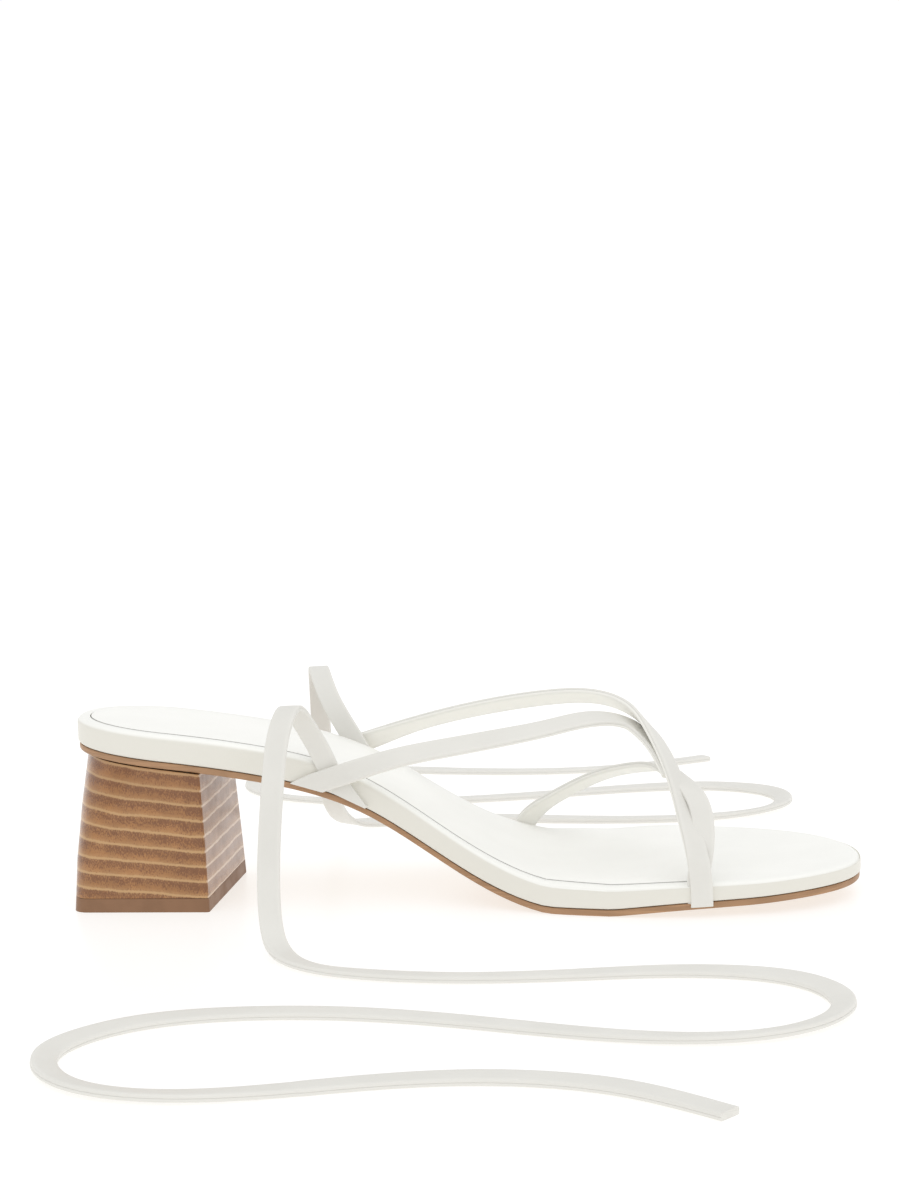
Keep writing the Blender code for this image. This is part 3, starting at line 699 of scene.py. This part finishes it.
def strap_faces(path):
    """The way the strap's upper face looks, from the route's lean."""
    lean = np.radians(path[:, 3])
    return np.stack([np.zeros_like(lean), np.sin(lean), np.cos(lean)], axis=1)


def heel_section(height):
    """The heel's plan at a height: a straight breast with eased corners and a round back."""
    heights = column(HEEL, HEEL_COLUMNS, "height")
    rear, breast, width, corner, middle_y, turned = (
        float(np.interp(height / SEAT_RISE, heights, column(HEEL, HEEL_COLUMNS, name)))
        for name in HEEL_COLUMNS[1:])
    rear = HEEL_BACK + rear * HEEL_LENGTH
    breast = HEEL_BACK + breast * HEEL_LENGTH
    half = width * HEEL_WIDTH / 2.0
    middle_y = middle_y * HEEL_WIDTH
    corner = min(corner * HEEL_WIDTH, half - NEAR_PLACE)
    turn = np.linspace(0.0, math.pi / 2.0, CORNER_STEPS + 1)
    front = [(breast - HEEL_EASE * (1.0 - math.sin(a)), -half + HEEL_EASE * (1.0 - math.cos(a)))
             for a in turn[::-1]]
    back = [(rear + corner * (1.0 - math.sin(a)), -half + corner * (1.0 - math.cos(a)))
            for a in turn]
    one_side = front + back
    middle = HEEL_BACK + HEEL_LENGTH / 2.0
    across = math.cos(math.radians(turned))
    along = math.sin(math.radians(turned))
    return [(middle + (x - middle) * across - y * along, middle_y + (x - middle) * along + y * across)
            for x, y in one_side + [(x, -y) for x, y in reversed(one_side)]]


def seat_height(x):
    """Height of the outsole's underside over the heel, with the gap to it."""
    return sole_line(x) - OUTSOLE_THICK - 2.0 * GAP


def settle(piece, node, material, degrees):
    """Moves a finished piece into the frame, gives it its material and ties it to the body."""
    piece.data.transform(Matrix.Translation(heel_place()))
    piece.data.materials.clear()
    piece.data.materials.append(material)
    work_on(piece)
    bpy.ops.object.shade_smooth_by_angle(angle=math.radians(degrees))
    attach(piece, BODY)
    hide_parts(node)


class Wiring:
    """Short calls that add nodes to a tree and join them."""

    def __init__(self, tree):
        self.tree = tree

    def node(self, kind, **settings):
        made = self.tree.nodes.new(kind)
        for name, value in settings.items():
            setattr(made, name, value)
        return made

    def feed(self, socket, value):
        if isinstance(value, bpy.types.NodeSocket):
            self.tree.links.new(value, socket)
        else:
            socket.default_value = value

    def math(self, operation, first, second=0.0, third=0.0):
        made = self.node("ShaderNodeMath", operation=operation)
        for socket, value in zip(made.inputs, (first, second, third)):
            self.feed(socket, value)
        return made.outputs[0]

    def parts(self, vector):
        made = self.node("ShaderNodeSeparateXYZ")
        self.feed(made.inputs[0], vector)
        return made.outputs

    def from_centre(self, value):
        return self.math("SUBTRACT", value, 0.5)

    def noise(self, vector, scale, detail, roughness):
        made = self.node("ShaderNodeTexNoise")
        self.feed(made.inputs["Vector"], vector)
        self.feed(made.inputs["Scale"], scale)
        self.feed(made.inputs["Detail"], detail)
        self.feed(made.inputs["Roughness"], roughness)
        return made.outputs[0]

    def grain(self, vector, repeats, detail, roughness):
        """Noise with its own number of repeats to the metre along x, y and z."""
        stretched = self.node("ShaderNodeVectorMath", operation="MULTIPLY")
        self.feed(stretched.inputs[0], vector)
        self.feed(stretched.inputs[1], repeats)
        return self.noise(stretched.outputs[0], 1.0, detail, roughness)

    def cells(self, vector, scale):
        made = self.node("ShaderNodeTexVoronoi", feature="SMOOTH_F1")
        self.feed(made.inputs["Vector"], vector)
        self.feed(made.inputs["Scale"], scale)
        return made.outputs["Distance"]

    def span(self, value, low, high, to_low=0.0, to_high=1.0):
        made = self.node("ShaderNodeMapRange", interpolation_type="SMOOTHSTEP")
        for name, part in (("Value", value), ("From Min", low), ("From Max", high),
                           ("To Min", to_low), ("To Max", to_high)):
            self.feed(made.inputs[name], part)
        return made.outputs[0]

    def blend(self, factor, first, second):
        made = self.node("ShaderNodeMix", data_type="RGBA")
        self.feed(made.inputs[MIX_FACTOR], factor)
        self.feed(made.inputs[MIX_FIRST], first)
        self.feed(made.inputs[MIX_SECOND], second)
        return made.outputs[MIX_RESULT]

    def bump(self, height, strength, distance):
        made = self.node("ShaderNodeBump")
        made.inputs["Strength"].default_value = strength
        made.inputs["Distance"].default_value = distance
        self.feed(made.inputs["Height"], height)
        return made.outputs["Normal"]

    def use(self, group, **values):
        made = self.node("ShaderNodeGroup", node_tree=group)
        for name, value in values.items():
            self.feed(made.inputs[name], value)
        return made.outputs


def new_group(name, inputs, outputs):
    """An empty shader group with named sockets, and its wiring."""
    tree = bpy.data.node_groups.new(name, "ShaderNodeTree")
    for way, pairs in (("INPUT", inputs), ("OUTPUT", outputs)):
        for title, kind in pairs:
            tree.interface.new_socket(name=title, in_out=way, socket_type="NodeSocket" + kind)
    wiring = Wiring(tree)
    return tree, wiring, wiring.node("NodeGroupInput").outputs, wiring.node("NodeGroupOutput").inputs


def smooth_grain_group():
    """Fine pores and soft unevenness of smooth leather, as a height."""
    name = "Smooth leather grain"
    if name in bpy.data.node_groups:
        return bpy.data.node_groups[name]
    tree, wires, given, wanted = new_group(
        name, [("Vector", "Vector"), ("Pore Scale", "Float"), ("Unevenness", "Float")],
        [("Height", "Float")])
    pores = wires.cells(given["Vector"], given["Pore Scale"])
    fine_scale = wires.math("MULTIPLY", given["Pore Scale"], 2.3)
    broad_scale = wires.math("MULTIPLY", given["Pore Scale"], 0.09)
    fine = wires.noise(given["Vector"], fine_scale, detail=3.0, roughness=0.6)
    broad = wires.noise(given["Vector"], broad_scale, detail=2.0, roughness=0.5)
    height = wires.math("ADD", wires.math("MULTIPLY", pores, 0.5), wires.math("MULTIPLY", fine, 0.5))
    height = wires.math("ADD", height, wires.math("MULTIPLY", broad, given["Unevenness"]))
    wires.feed(wanted["Height"], height)
    return tree


def tone_group():
    """Soft drift between two tones of one finish, and the roughness that goes with it."""
    name = "Tone drift"
    if name in bpy.data.node_groups:
        return bpy.data.node_groups[name]
    tree, wires, given, wanted = new_group(
        name, [("Vector", "Vector"), ("Scale", "Float"), ("Colour", "Color"), ("Other", "Color"),
               ("Smoothest", "Float"), ("Roughest", "Float")],
        [("Colour", "Color"), ("Roughness", "Float")])
    drift = wires.noise(given["Vector"], given["Scale"], detail=3.0, roughness=0.55)
    share = wires.span(drift, 0.30, 0.70)
    wires.feed(wanted["Colour"], wires.blend(share, given["Colour"], given["Other"]))
    rough = wires.span(drift, 0.25, 0.75, given["Smoothest"], given["Roughest"])
    wires.feed(wanted["Roughness"], rough)
    return tree


def new_material(name):
    made = bpy.data.materials.new(name)
    made.use_nodes = True
    wires = Wiring(made.node_tree)
    shader = made.node_tree.nodes["Principled BSDF"]
    return made, wires, shader.inputs


def object_place(wires):
    return wires.node("ShaderNodeTexCoord").outputs["Object"]


def object_facing(wires):
    return wires.parts(wires.node("ShaderNodeTexCoord").outputs["Normal"])


def shade(colour, share):
    """The colour made darker or lighter by a share."""
    return tuple(min(1.0, part * share) for part in colour[:3]) + (1.0,)


def plain_leather(name, colour, other, pore_scale, strength, smoothest, roughest, edge=None):
    """Smooth finished leather on Object coordinates, with a darker colour painted as shade on its
    steep faces.
    """
    made, wires, sockets = new_material(name)
    place = object_place(wires)
    tone = wires.use(tone_group(), Vector=place, Scale=38.0, Colour=tuple(colour), Other=other,
                     Smoothest=smoothest, Roughest=roughest)
    grain = wires.use(smooth_grain_group(), **{"Vector": place, "Pore Scale": pore_scale,
                                               "Unevenness": 2.2})
    seen = tone["Colour"]
    if edge:
        # Steep faces take the edge colour: painted shade on the footbed's wall and on the lining's
        # edge
        seen = wires.blend(wires.span(object_facing(wires)["Z"], 0.75, 0.35), seen, edge)
    wires.feed(sockets["Base Color"], seen)
    wires.feed(sockets["Roughness"], tone["Roughness"])
    wires.feed(sockets["Normal"], wires.bump(grain["Height"], strength, RELIEF_DEPTH))
    sockets["Specular IOR Level"].default_value = LEATHER_SPECULAR
    return made


def strap_leather(name, lining):
    """Turned-edge leather: a painted highlight lightens the folds at the two edges of the face."""
    colour = finish().leather
    made, wires, sockets = new_material(name)
    place = object_place(wires)
    tone = wires.use(tone_group(), Vector=place, Scale=55.0, Colour=tuple(colour),
                     Other=shade(colour, 0.965), Smoothest=0.36, Roughest=0.50)
    around = wires.parts(wires.node("ShaderNodeUVMap", uv_map="UVMap").outputs["UV"])["Y"]
    half_turn = wires.math("FRACT", wires.math("MULTIPLY", around, 2.0))
    from_face = wires.math("ABSOLUTE", wires.from_centre(half_turn))
    fold_highlight = wires.span(from_face, 0.10, 0.22)
    seam = wires.span(from_face, 0.47, 0.50)
    under = wires.math("GREATER_THAN", around, 0.5)
    plain = wires.blend(under, tone["Colour"], lining)
    # A painted highlight lightens the folds next to the face
    light = wires.blend(wires.math("MULTIPLY", fold_highlight, 0.55), plain, shade(colour, 1.05))
    wires.feed(sockets["Base Color"],
               wires.blend(wires.math("MULTIPLY", seam, 0.6), light, shade(colour, 0.55)))
    wires.feed(sockets["Roughness"], tone["Roughness"])
    grain = wires.use(smooth_grain_group(), **{"Vector": place, "Pore Scale": 1900.0,
                                               "Unevenness": 1.6})
    wires.feed(sockets["Normal"], wires.bump(grain["Height"], 0.16, RELIEF_DEPTH))
    sockets["Specular IOR Level"].default_value = LEATHER_SPECULAR
    return made


def outsole_material():
    """Tan composition sole with faint streaks along its edge."""
    colour = finish().sole
    made, wires, sockets = new_material("outsole tan composition")
    place = object_place(wires)
    streaks = wires.grain(place, (60.0, 60.0, 1500.0), detail=3.0, roughness=0.6)
    tone = wires.use(tone_group(), Vector=place, Scale=90.0, Colour=tuple(colour),
                     Other=shade(colour, 0.86), Smoothest=0.42, Roughest=0.58)
    streaked = wires.blend(wires.span(streaks, 0.45, 0.75), tone["Colour"], shade(colour, 1.16))
    wires.feed(sockets["Base Color"], streaked)
    wires.feed(sockets["Roughness"], tone["Roughness"])
    fine = wires.noise(place, 2600.0, detail=4.0, roughness=0.6)
    wires.feed(sockets["Normal"], wires.bump(fine, strength=0.12, distance=RELIEF_DEPTH))
    sockets["Specular IOR Level"].default_value = RUBBER_SPECULAR
    return made


def tip_material():
    """Plain brown wearing piece, slightly matt, with fine moulding marks."""
    colour = finish().tip
    made, wires, sockets = new_material("heel tip brown")
    place = object_place(wires)
    tone = wires.use(tone_group(), Vector=place, Scale=140.0, Colour=tuple(colour),
                     Other=shade(colour, 0.90), Smoothest=0.44, Roughest=0.58)
    wires.feed(sockets["Base Color"], tone["Colour"])
    wires.feed(sockets["Roughness"], tone["Roughness"])
    marks = wires.grain(place, (900.0, 900.0, 3200.0), detail=3.0, roughness=0.6)
    wires.feed(sockets["Normal"], wires.bump(marks, strength=0.14, distance=RELIEF_DEPTH))
    sockets["Specular IOR Level"].default_value = RUBBER_SPECULAR
    return made


def stack_material():
    """Stacked layers: light lines that fan from level at the floor to the tilt of the seat, with a
    painted sheen on the breast and painted shade under the seat.
    """
    looks = finish()
    made, wires, sockets = new_material("stacked heel layers")
    place = object_place(wires)
    parts = wires.parts(place)
    x, z = parts["X"], parts["Z"]
    tilt = wires.math("MULTIPLY_ADD", z, TILT_GAIN, FLOOR_TILT)
    from_middle = wires.math("SUBTRACT", x, HEEL_BACK_X + LAYERS_MIDDLE)
    height = wires.math("MULTIPLY_ADD", from_middle, tilt, z)
    wave = wires.noise(place, 95.0, detail=2.0, roughness=0.5)
    height = wires.math("MULTIPLY_ADD", wires.from_centre(wave), LINE_WANDER, height)
    ragged = wires.grain(place, FRAY_GRAIN, detail=2.0, roughness=0.6)
    height = wires.math("MULTIPLY_ADD", wires.from_centre(ragged), LINE_FRAY, height)
    layer = wires.math("DIVIDE", wires.math("SUBTRACT", height, FIRST_LINE), sizes().layer_pitch)
    within = wires.math("FRACT", layer)
    # The distance to the nearest line, as a share of a layer
    near = wires.math("SUBTRACT", 0.5, wires.math("ABSOLUTE", wires.from_centre(within)))
    line = wires.span(near, 0.115, 0.03)
    soft_line = wires.span(near, 0.34, 0.04)
    under_line = wires.span(within, 0.16, 0.72)
    strokes = wires.grain(place, SPECK_GRAIN, detail=4.0, roughness=0.72)
    blotches = wires.grain(place, BLOTCH_GRAIN, detail=3.0, roughness=0.6)
    breast = wires.span(object_facing(wires)["X"], 0.55, 0.85)
    toward_front = wires.math("MULTIPLY", wires.math("SUBTRACT", 1.0, breast),
                              wires.span(from_middle, 0.004, 0.0165, 0.0, 0.06))
    threshold = wires.math("ADD", wires.math("MULTIPLY", under_line, 0.15), toward_front)
    threshold = wires.math("MULTIPLY_ADD", wires.from_centre(blotches), 0.24, threshold)
    threshold = wires.math("MULTIPLY_ADD", breast, 0.06, threshold)
    amount = wires.math("ADD", strokes, threshold)
    specks = wires.span(amount, 0.56, 0.66)
    specks = wires.math("MULTIPLY", specks, wires.math("SUBTRACT", 1.0, line))
    tone = wires.use(tone_group(), Vector=place, Scale=170.0, Colour=tuple(looks.stack),
                     Other=shade(looks.stack, 0.80), Smoothest=0.34, Roughest=0.50)
    colour = wires.blend(wires.math("MULTIPLY", soft_line, LINE_HALO_COVER), tone["Colour"],
                         tuple(looks.stack_line))
    # Painted sheen on the breast, which faces the front: fainter specks and paler lines stand in for
    # light glancing off it
    speck_cover_with_sheen = wires.span(breast, 0.0, 1.0, SPECK_COVER, BREAST_SHEEN_SPECK_COVER)
    colour = wires.blend(wires.math("MULTIPLY", specks, speck_cover_with_sheen), colour,
                         tuple(looks.stack_dark))
    line_tone_with_sheen = wires.blend(breast, tuple(looks.stack_line), BREAST_SHEEN_LINE)
    colour = wires.blend(wires.math("MULTIPLY", line, LINE_COVER), colour, line_tone_with_sheen)
    # Painted shade: the layers darken towards the seat, where the footbed overhangs them
    painted_seat_shade = wires.span(z, 0.026, 0.046, 0.0, SEAT_SHADE_COVER)
    colour = wires.blend(painted_seat_shade, colour, tuple(looks.stack_dark))
    wires.feed(sockets["Base Color"], colour)
    wires.feed(sockets["Roughness"], tone["Roughness"])
    relief = wires.math("MULTIPLY_ADD", line, 0.9, wires.math("MULTIPLY", specks, -0.6))
    wires.feed(sockets["Normal"], wires.bump(relief, strength=0.35, distance=LAYER_RELIEF_DEPTH))
    sockets["Specular IOR Level"].default_value = 0.2
    sockets["Coat Weight"].default_value = 0.65
    sockets["Coat Roughness"].default_value = 0.18
    return made


class SANDAL_OT_ties(bpy.types.Operator):
    """Models the two flat ties that lie on the floor"""
    bl_idname = "sandal.ties"
    bl_label = "Ties"

    def execute(self, context):
        made = sizes()
        material = strap_leather("tie turned-edge leather", tuple(finish().leather))
        for name, node, route in TIES:
            laid = lay_tie(route, made.tie_bank, made.strap_width)
            path = laid[:, :3]
            piece = band(name, path, laid[:, 3:], made.strap_width, made.strap_thick)
            trim_tie(piece, path[0])
            settle(piece, node, material, BAND_SMOOTH)
            shift = np.array(heel_place())
        return {"FINISHED"}


def lay_tie(route, bank, width):
    """The tie's route, tipped over a little where it turns on the floor."""
    laid = smooth_route(np.array(route), TIE_STEP)
    path = laid[:, :3]
    ahead = directions(path)
    turn = np.gradient(ahead, axis=0) / TIE_STEP
    turn[:, 2] = 0.0
    sharp = np.linalg.norm(turn, axis=1)
    low = np.clip(1.0 - (path[:, 2] - TIE_REST_HEIGHT) / TIE_FADE_HEIGHT, 0.0, 1.0)
    tip = bank * np.clip(sharp / TIE_SHARP_TURN, 0.0, 1.0) * low
    window = np.hanning(TIE_EVENING_POINTS)
    tip = np.convolve(tip, window / np.sum(window), mode="same")
    inward = turn / np.maximum(sharp, NOT_ZERO)[:, None]
    laid[:, 3:] = laid[:, 3:] * np.cos(tip)[:, None] + inward * np.sin(tip)[:, None]
    laid[:, 2] = path[:, 2] + np.sin(tip) * width / 2.0
    return laid


class SANDAL_OT_straps(bpy.types.Operator):
    """Models the cross strap, the arch strap and the toe strap"""
    bl_idname = "sandal.straps"
    bl_label = "Straps"

    def execute(self, context):
        made = sizes()
        material = strap_leather("strap turned-edge leather", tuple(finish().lining))
        for name, route, ends in STRAPS:
            path = strap_path(route)
            piece = band(name, path[:, :3], strap_faces(path), made.strap_width, made.strap_thick)
            for x, below in ends:
                trim_strap(piece, x, below)
            settle(piece, "upper_straps", material, BAND_SMOOTH)
        return {"FINISHED"}


def sock_plate(name, inset, thick):
    """The lining's outline as a level plate: the sole's, cut off straight with eased corners."""
    plate = flat_plate(name, outline(inset), thick)
    edge = SOCK_LENGTH + SOCK_INSET - inset
    pick(plate, "polygons", lambda face: True)
    bpy.ops.mesh.bisect(plane_co=(edge, 0.0, 0.0), plane_no=(1.0, 0.0, 0.0), use_fill=True,
                        clear_outer=True)
    leave()
    points = plate.data.vertices
    sides = [point.co.y for point in points if abs(point.co.x - edge) < NEAR_PLACE]
    outer = (min(sides), max(sides))

    def is_corner(line):
        ends = [points[place].co for place in line.vertices]
        upright = abs(ends[0].z - ends[1].z) > thick / 2.0
        at_edge = all(abs(end.x - edge) < NEAR_PLACE for end in ends)
        return upright and at_edge and min(abs(ends[0].y - side) for side in outer) < NEAR_PLACE

    pick(plate, "edges", is_corner)
    bpy.ops.mesh.bevel(offset=SOCK_CORNER, segments=SOCK_CORNER_STEPS, profile=0.5,
                       affect="EDGES")
    leave()
    return plate


class SANDAL_OT_footbed(bpy.types.Operator):
    """Models the wrapped footbed with its round edge and the recess of the lining"""
    bl_idname = "sandal.footbed"
    bl_label = "Footbed"

    def execute(self, context):
        made = sizes()
        plate = flat_plate("footbed_wrap", outline(0.0), FOOTBED_THICK)
        ease_rim(plate, FOOTBED_THICK, made.edge_round, FOOTBED_EDGE_STEPS)
        ease_rim(plate, 0.0, FOOTBED_TUCK, FOOTBED_TUCK_STEPS)
        recess = sock_plate("lining_recess", SOCK_INSET - SOCK_ROOM, FOOTBED_THICK)
        recess.data.transform(Matrix.Translation((0.0, 0.0, FOOTBED_THICK - SOCK_THICK)))
        work_on(plate)
        cut = plate.modifiers.new("recess", "BOOLEAN")
        cut.operation = "DIFFERENCE"
        cut.solver = "EXACT"
        cut.object = recess
        bpy.ops.object.modifier_apply(modifier=cut.name)
        bpy.data.objects.remove(recess, do_unlink=True)
        cut_level_faces(plate, 0.0, LENGTH)

        def height(x, y, z):
            share = z / FOOTBED_THICK
            dish = TOP_DISH * bowl(x, y) * np.clip(2.0 * share - 1.0, 0.0, 1.0)
            deep = np.where(share > 1.0 - 1.5 * SOCK_THICK / FOOTBED_THICK, FOOTBED_THICK - z, 0.0)
            full = (z + deep) * sole_column("thick", x)
            return sole_line(x) + full - deep - dish

        bend_to_sole(plate, height)
        look = finish()
        # The footbed's side wall is painted darker, as shade
        material = plain_leather("footbed wrapped leather", look.wrap, shade(look.wrap, 0.972),
                                 pore_scale=1500.0, strength=0.14, smoothest=0.34, roughest=0.48,
                                 edge=tuple(look.painted_wall_shade))
        settle(plate, "footbed", material, SHEET_SMOOTH)
        return {"FINISHED"}


class SANDAL_OT_sock(bpy.types.Operator):
    """Models the insole lining with its turned edge"""
    bl_idname = "sandal.sock"
    bl_label = "Lining"

    def execute(self, context):
        made = sizes()
        thick = SOCK_THICK + made.sock_proud
        plate = sock_plate("sock_lining", SOCK_INSET, thick)
        ease_rim(plate, thick, SOCK_EDGE, SOCK_EDGE_STEPS)
        cut_level_faces(plate, 0.0, SOCK_LENGTH)

        def height(x, y, z):
            top = sole_line(x) + FOOTBED_THICK * sole_column("thick", x)
            return top - SOCK_THICK + z - TOP_DISH * bowl(x, y)

        bend_to_sole(plate, height)
        look = finish()
        # The lining's steep edge is painted darker, as the shade in the thin gap round the lining
        material = plain_leather("sock soft leather", look.sock, shade(look.sock, 0.975),
                                 pore_scale=1700.0, strength=0.12, smoothest=0.42, roughest=0.56,
                                 edge=shade(look.sock, 0.62))
        settle(plate, "insole_sock", material, SHEET_SMOOTH)
        return {"FINISHED"}


class SANDAL_OT_outsole(bpy.types.Operator):
    """Models the thin outsole"""
    bl_idname = "sandal.outsole"
    bl_label = "Outsole"

    def execute(self, context):
        plate = flat_plate("outsole_sheet", outline(OUTSOLE_SETBACK), OUTSOLE_THICK)
        ease_rim(plate, OUTSOLE_THICK, OUTSOLE_UPPER_EDGE, OUTSOLE_UPPER_STEPS)
        ease_rim(plate, 0.0, OUTSOLE_LOWER_EDGE, OUTSOLE_LOWER_STEPS)
        cut_level_faces(plate, 0.0, LENGTH)
        bend_to_sole(plate, lambda x, y, z: sole_line(x) - SEAM - (OUTSOLE_THICK + GAP - SEAM)
                     * (1.0 - z / OUTSOLE_THICK))
        settle(plate, "outsole", outsole_material(), SHEET_SMOOTH)
        return {"FINISHED"}


def heel_form(name, low, high):
    """A ring of the heel's plan at the floor, extruded in rows and fitted to the plan at each."""
    select_none()
    count = len(heel_section(0.0))
    bpy.ops.mesh.primitive_circle_add(vertices=count, radius=1.0, fill_type="NGON")
    form = new_piece(name)
    shares = np.linspace(0.0, 1.0, HEEL_ROWS + 1)
    pick(form, "polygons", lambda face: True)
    for share in shares[1:]:
        bpy.ops.mesh.extrude_region_move(TRANSFORM_OT_translate={"value": (0.0, 0.0, 1.0)})
    leave()
    for vertex in form.data.vertices:
        row = int(round(vertex.co.z))
        angle = math.atan2(vertex.co.y, vertex.co.x) % (2.0 * math.pi)
        place = int(round(angle / (2.0 * math.pi) * count)) % count
        level = low + shares[row] * (high(0.5 * HEEL_LENGTH) - low)
        x, y = heel_section(level)[place]
        vertex.co = (x, y, low + shares[row] * (high(x) - low))
    face_outwards(form)
    return form


def inset_ends(form, thickness):
    """Insets the form's two large end faces, so that its shading stays even at their rims."""
    pick(form, "polygons", lambda face: len(face.vertices) > 4)
    bpy.ops.mesh.inset(thickness=thickness)
    leave()


class SANDAL_OT_heel(bpy.types.Operator):
    """Models the stacked heel block and its wearing piece"""
    bl_idname = "sandal.heel"
    bl_label = "Heel"

    def execute(self, context):
        block = heel_form("heel_stack", TOP_PIECE_THICK + HEEL_JOINT, lambda x: float(seat_height(x)))
        inset_ends(block, HEEL_END_INSET)
        settle(block, "heel_block", stack_material(), HEEL_SMOOTH)
        tip = heel_form("heel_tip", 0.0, lambda x: TOP_PIECE_THICK)
        inset_ends(tip, TIP_END_INSET)
        settle(tip, "top_piece", tip_material(), HEEL_SMOOTH)
        return {"FINISHED"}


class SANDAL_OT_stage(bpy.types.Operator):
    """Makes the plain floor, the soft lights and the camera"""
    bl_idname = "sandal.stage"
    bl_label = "Stage"

    def execute(self, context):
        select_none()
        bpy.ops.mesh.primitive_circle_add(vertices=FLOOR_CORNERS, radius=FLOOR_RADIUS,
                                          fill_type="NGON")
        floor = new_piece("studio_floor")
        made, wires, sockets = new_material("studio floor")
        sockets["Base Color"].default_value = finish().floor
        sockets["Roughness"].default_value = 0.32
        sockets["Specular IOR Level"].default_value = 0.1
        sockets["Emission Color"].default_value = FLOOR_GLOW
        seen = wires.node("ShaderNodeLightPath").outputs["Is Camera Ray"]
        wires.feed(sockets["Emission Strength"], wires.span(seen, 0.0, 1.0, FLOOR_BOUNCE, 1.0))
        floor.data.materials.append(made)
        context.scene.world = studio_world()
        context.scene.view_settings.view_transform = "Standard"
        add_sun("key_light", KEY_FROM, KEY_STRENGTH)
        add_camera()
        return {"FINISHED"}


def studio_world():
    """Even white surroundings that look as bright as the lit floor, so that no horizon shows."""
    world = bpy.data.worlds.new("studio")
    world.use_nodes = True
    wires = Wiring(world.node_tree)
    surroundings = world.node_tree.nodes["Background"].inputs
    surroundings["Color"].default_value = (1.0, 1.0, 1.0, 1.0)
    seen = wires.node("ShaderNodeLightPath").outputs["Is Camera Ray"]
    wires.feed(surroundings["Strength"], wires.span(seen, 0.0, 1.0, SKY_STRENGTH, SKY_SEEN))
    return world


def add_sun(name, direction, strength):
    """A broad soft light that shines from the direction, alike everywhere on the floor."""
    lamp = bpy.data.lights.new(name, "SUN")
    lamp.energy = strength
    lamp.angle = KEY_SPREAD
    made = bpy.data.objects.new(name, lamp)
    made.rotation_euler = Vector(direction).to_track_quat("Z", "Y").to_euler()
    bpy.context.scene.collection.objects.link(made)


def add_camera():
    """The camera at the photograph's angle, rolled a little."""
    back = Vector((math.sin(CAMERA_AZIMUTH) * math.cos(CAMERA_ELEVATION),
                   -math.cos(CAMERA_AZIMUTH) * math.cos(CAMERA_ELEVATION),
                   math.sin(CAMERA_ELEVATION)))
    level_right = (-back).cross(Vector((0.0, 0.0, 1.0))).normalized()
    level_up = level_right.cross(-back).normalized()
    right = math.cos(CAMERA_ROLL) * level_right + math.sin(CAMERA_ROLL) * level_up
    up = -math.sin(CAMERA_ROLL) * level_right + math.cos(CAMERA_ROLL) * level_up
    lens = bpy.data.cameras.new("camera")
    lens.lens = CAMERA_LENS
    lens.sensor_width = SENSOR_WIDTH
    lens.sensor_fit = "AUTO"
    lens.clip_start = NEAREST_SEEN
    lens.clip_end = FARTHEST_SEEN
    made = bpy.data.objects.new("camera", lens)
    bpy.context.scene.collection.objects.link(made)
    turn = Matrix((right, up, back)).transposed().to_4x4()
    place = Vector(CAMERA_TARGET) + heel_place() + back * CAMERA_DISTANCE
    made.matrix_world = Matrix.Translation(place) @ turn
    bpy.context.scene.camera = made


class SANDAL_PT_panel(bpy.types.Panel):
    """Sizes, colours and the steps that make the sandal"""
    bl_idname = "SANDAL_PT_panel"
    bl_label = "Lace Up Sandal"
    bl_space_type = "VIEW_3D"
    bl_region_type = "UI"
    bl_category = "Sandal"

    def draw(self, context):
        layout = self.layout
        for group in (context.scene.sandal_sizes, context.scene.sandal_finish):
            box = layout.box()
            for name in group.__annotations__:
                box.prop(group, name)
        for step in STEPS:
            layout.operator(step.bl_idname)


STEPS = (SANDAL_OT_ties, SANDAL_OT_outsole, SANDAL_OT_heel, SANDAL_OT_footbed, SANDAL_OT_sock,
         SANDAL_OT_straps, SANDAL_OT_stage)
CLASSES = (SandalSizes, SandalFinish) + STEPS + (SANDAL_PT_panel,)


def register():
    for item in CLASSES:
        bpy.utils.register_class(item)
    bpy.types.Scene.sandal_sizes = PointerProperty(type=SandalSizes)
    bpy.types.Scene.sandal_finish = PointerProperty(type=SandalFinish)


def unregister():
    del bpy.types.Scene.sandal_finish
    del bpy.types.Scene.sandal_sizes
    for item in reversed(CLASSES):
        bpy.utils.unregister_class(item)


def main():
    register()
    select_none()
    bpy.ops.sandal.ties()
    bpy.ops.sandal.outsole()
    bpy.ops.sandal.heel()
    bpy.ops.sandal.footbed()
    bpy.ops.sandal.sock()
    bpy.ops.sandal.straps()
    bpy.ops.sandal.stage()


if __name__ == "__main__":
    main()
